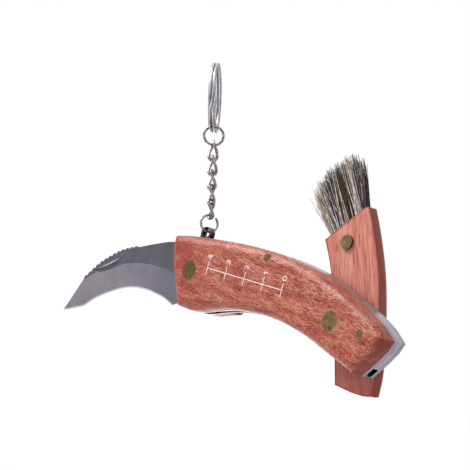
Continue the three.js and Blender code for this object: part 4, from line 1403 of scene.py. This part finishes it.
# %% Ruler strokes
RULER_LINE = 2.6
MARKS = [9.4, 19.4, 29.3, 39.3, 49.2]
MARK_NUMBERS = (4, 3, 2, 1, 0)
MARK_LOW, MARK_HIGH = 0.25, 5.1
LINE_WIDTH = 0.32
DIGIT_UP = 6.7
DIGIT_HEIGHT, DIGIT_WIDTH = 1.9, 1.5
DIGIT_STROKE = 0.38
DIGITS = {
    0: [[(0.5, 0), (0.15, 0.12), (0, 0.5), (0.15, 0.88), (0.5, 1), (0.85, 0.88), (1, 0.5),
         (0.85, 0.12), (0.5, 0)]],
    1: [[(0.62, 1.0), (0.62, -0.05)], [(0.1, 0.66), (0.62, 0.98)]],
    2: [[(0.05, 0.75), (0.25, 0.97), (0.7, 0.97), (0.93, 0.72), (0.75, 0.42), (0.05, 0.02),
         (0.98, 0.02)]],
    3: [[(0.08, 0.85), (0.4, 1), (0.8, 0.9), (0.85, 0.65), (0.45, 0.52), (0.9, 0.38),
         (0.88, 0.12), (0.45, 0), (0.05, 0.15)]],
    4: [[(0.75, -0.1), (0.75, 1.05)], [(0.72, 1.05), (-0.05, 0.3), (1.15, 0.3)]],
}
FACE = -8.95
SUNK = 0.005
PRINT_RAISE, CROSSING_RAISE = 0.03, 0.036
PRINT_CLOUDS, PRINT_TONES = 0.8, ((250, 238, 236), (236, 200, 192))
PRINT_LOOK = {"Roughness": 0.5}


def ribbon(points, faces, line, width, raised):
    """A thin raised band along a line of places on the handle's front."""
    spots = [Vector(spot) for spot in line]
    first = len(points)
    for number, spot in enumerate(spots):
        ahead = spots[min(number + 1, len(spots) - 1)] - spots[max(number - 1, 0)]
        side = Vector((-ahead.y, ahead.x)).normalized() * width / 2
        for edge, up in ((side, 0), (side, raised), (-side, raised), (-side, 0)):
            points.append((spot.x + edge.x, FACE + SUNK - up, spot.y + edge.y))
    skin(faces, first, len(spots), 4)


strokes = [([(MARKS[0], RULER_LINE), (MARKS[-1], RULER_LINE)], LINE_WIDTH, PRINT_RAISE)]
for mark in MARKS:
    strokes.append(([(mark, MARK_LOW), (mark, MARK_HIGH)], LINE_WIDTH, CROSSING_RAISE))
for mark, digit in zip(MARKS, MARK_NUMBERS):
    for number, line in enumerate(DIGITS[digit]):
        upright = [
            (mark - (y - 0.5) * DIGIT_HEIGHT, DIGIT_UP + (x - 0.5) * DIGIT_WIDTH) for x, y in line]
        strokes.append((upright, DIGIT_STROKE, CROSSING_RAISE if number else PRINT_RAISE))
print_points, print_faces = [], []
for stroke in strokes:
    ribbon(print_points, print_faces, *stroke)

ink = cloudy_finish("print_white", KNIFE, PRINT_CLOUDS, *PRINT_TONES, PRINT_LOOK)
ruler = new_mesh_object("ruler_print", print_points, print_faces, KNIFE)
settle(ruler, "handle", ink)

# %% [markdown]
# ## Floor and background
# The photograph is a catalogue picture on white. The floor is a pale sheet well below the knife,
# where this camera doesn't see it. The world is a soft grey that lights the knife from all sides,
# but a camera, a mirror or glass sees it white. A stronger light would whiten the background, too,
# and wash out the wood.

# %% Floor and world
FLOOR_UP = -0.22
FLOOR_REACH = 3
FLOOR_LOOK = {"Base Color": linear(236, 236, 236), "Roughness": 0.9}
WORLD_GREY = (0.37, 0.37, 0.38, 1)
WHITE = (1, 1, 1, 1)

corners = [(x * FLOOR_REACH, y * FLOOR_REACH) for x, y in ((-1, -1), (1, -1), (1, 1), (-1, 1))]
floor_mesh = bpy.data.meshes.new("floor")
floor_mesh.from_pydata([(x, y, FLOOR_UP) for x, y in corners], [], [(0, 1, 2, 3)])
floor_mesh.materials.append(new_finish("floor_pale", FLOOR_LOOK)[0])
floor = bpy.data.objects.new("floor", floor_mesh)
bpy.context.scene.collection.objects.link(floor)

world = bpy.data.worlds.new("studio")
world.use_nodes = True
bpy.context.scene.world = world
sky = world.node_tree
grey = sky.nodes["Background"]
grey.inputs["Color"].default_value = WORLD_GREY
white = add_node(sky, "ShaderNodeBackground", {"Color": WHITE})
path = add_node(sky, "ShaderNodeLightPath").outputs
seen = add_math(sky, "MAXIMUM", path["Is Camera Ray"], path["Is Glossy Ray"])
seen = add_math(sky, "MAXIMUM", seen, path["Is Transmission Ray"])
blend = add_node(sky, "ShaderNodeMixShader", {0: seen, 1: grey.outputs[0], 2: white.outputs[0]})
sky.links.new(blend.outputs[0], sky.nodes["World Output"].inputs["Surface"])
print("floor at", FLOOR_UP, "m, world nodes:", len(sky.nodes))

# %% [markdown]
# ## Lamps
# Two large soft lamps shape the knife: one in front, high up, and a weaker one far behind, past
# the blade. Neither stands where the handle's broad face would mirror it into the camera, because
# a mirrored lamp bleaches the wood and the steel.

# %% Lamps
AIM = Vector((0, 0, 0.05))
LAMPS = {  # place, size and power
    "front_light": ((-0.35, -0.65, 1.15), (0.9, 0.7), 19),
    "back_light": ((-1.1, 0.7, 0.25), (1.0, 0.8), 6),
}

for name, (place, size, power) in LAMPS.items():
    lamp = bpy.data.lights.new(name, "AREA")
    lamp.shape = "RECTANGLE"
    lamp.size, lamp.size_y = size
    lamp.energy = power
    stand(name, lamp, place, AIM - Vector(place))
bpy.context.scene.view_settings.view_transform = "Standard"
print("lamps:", ", ".join(LAMPS))
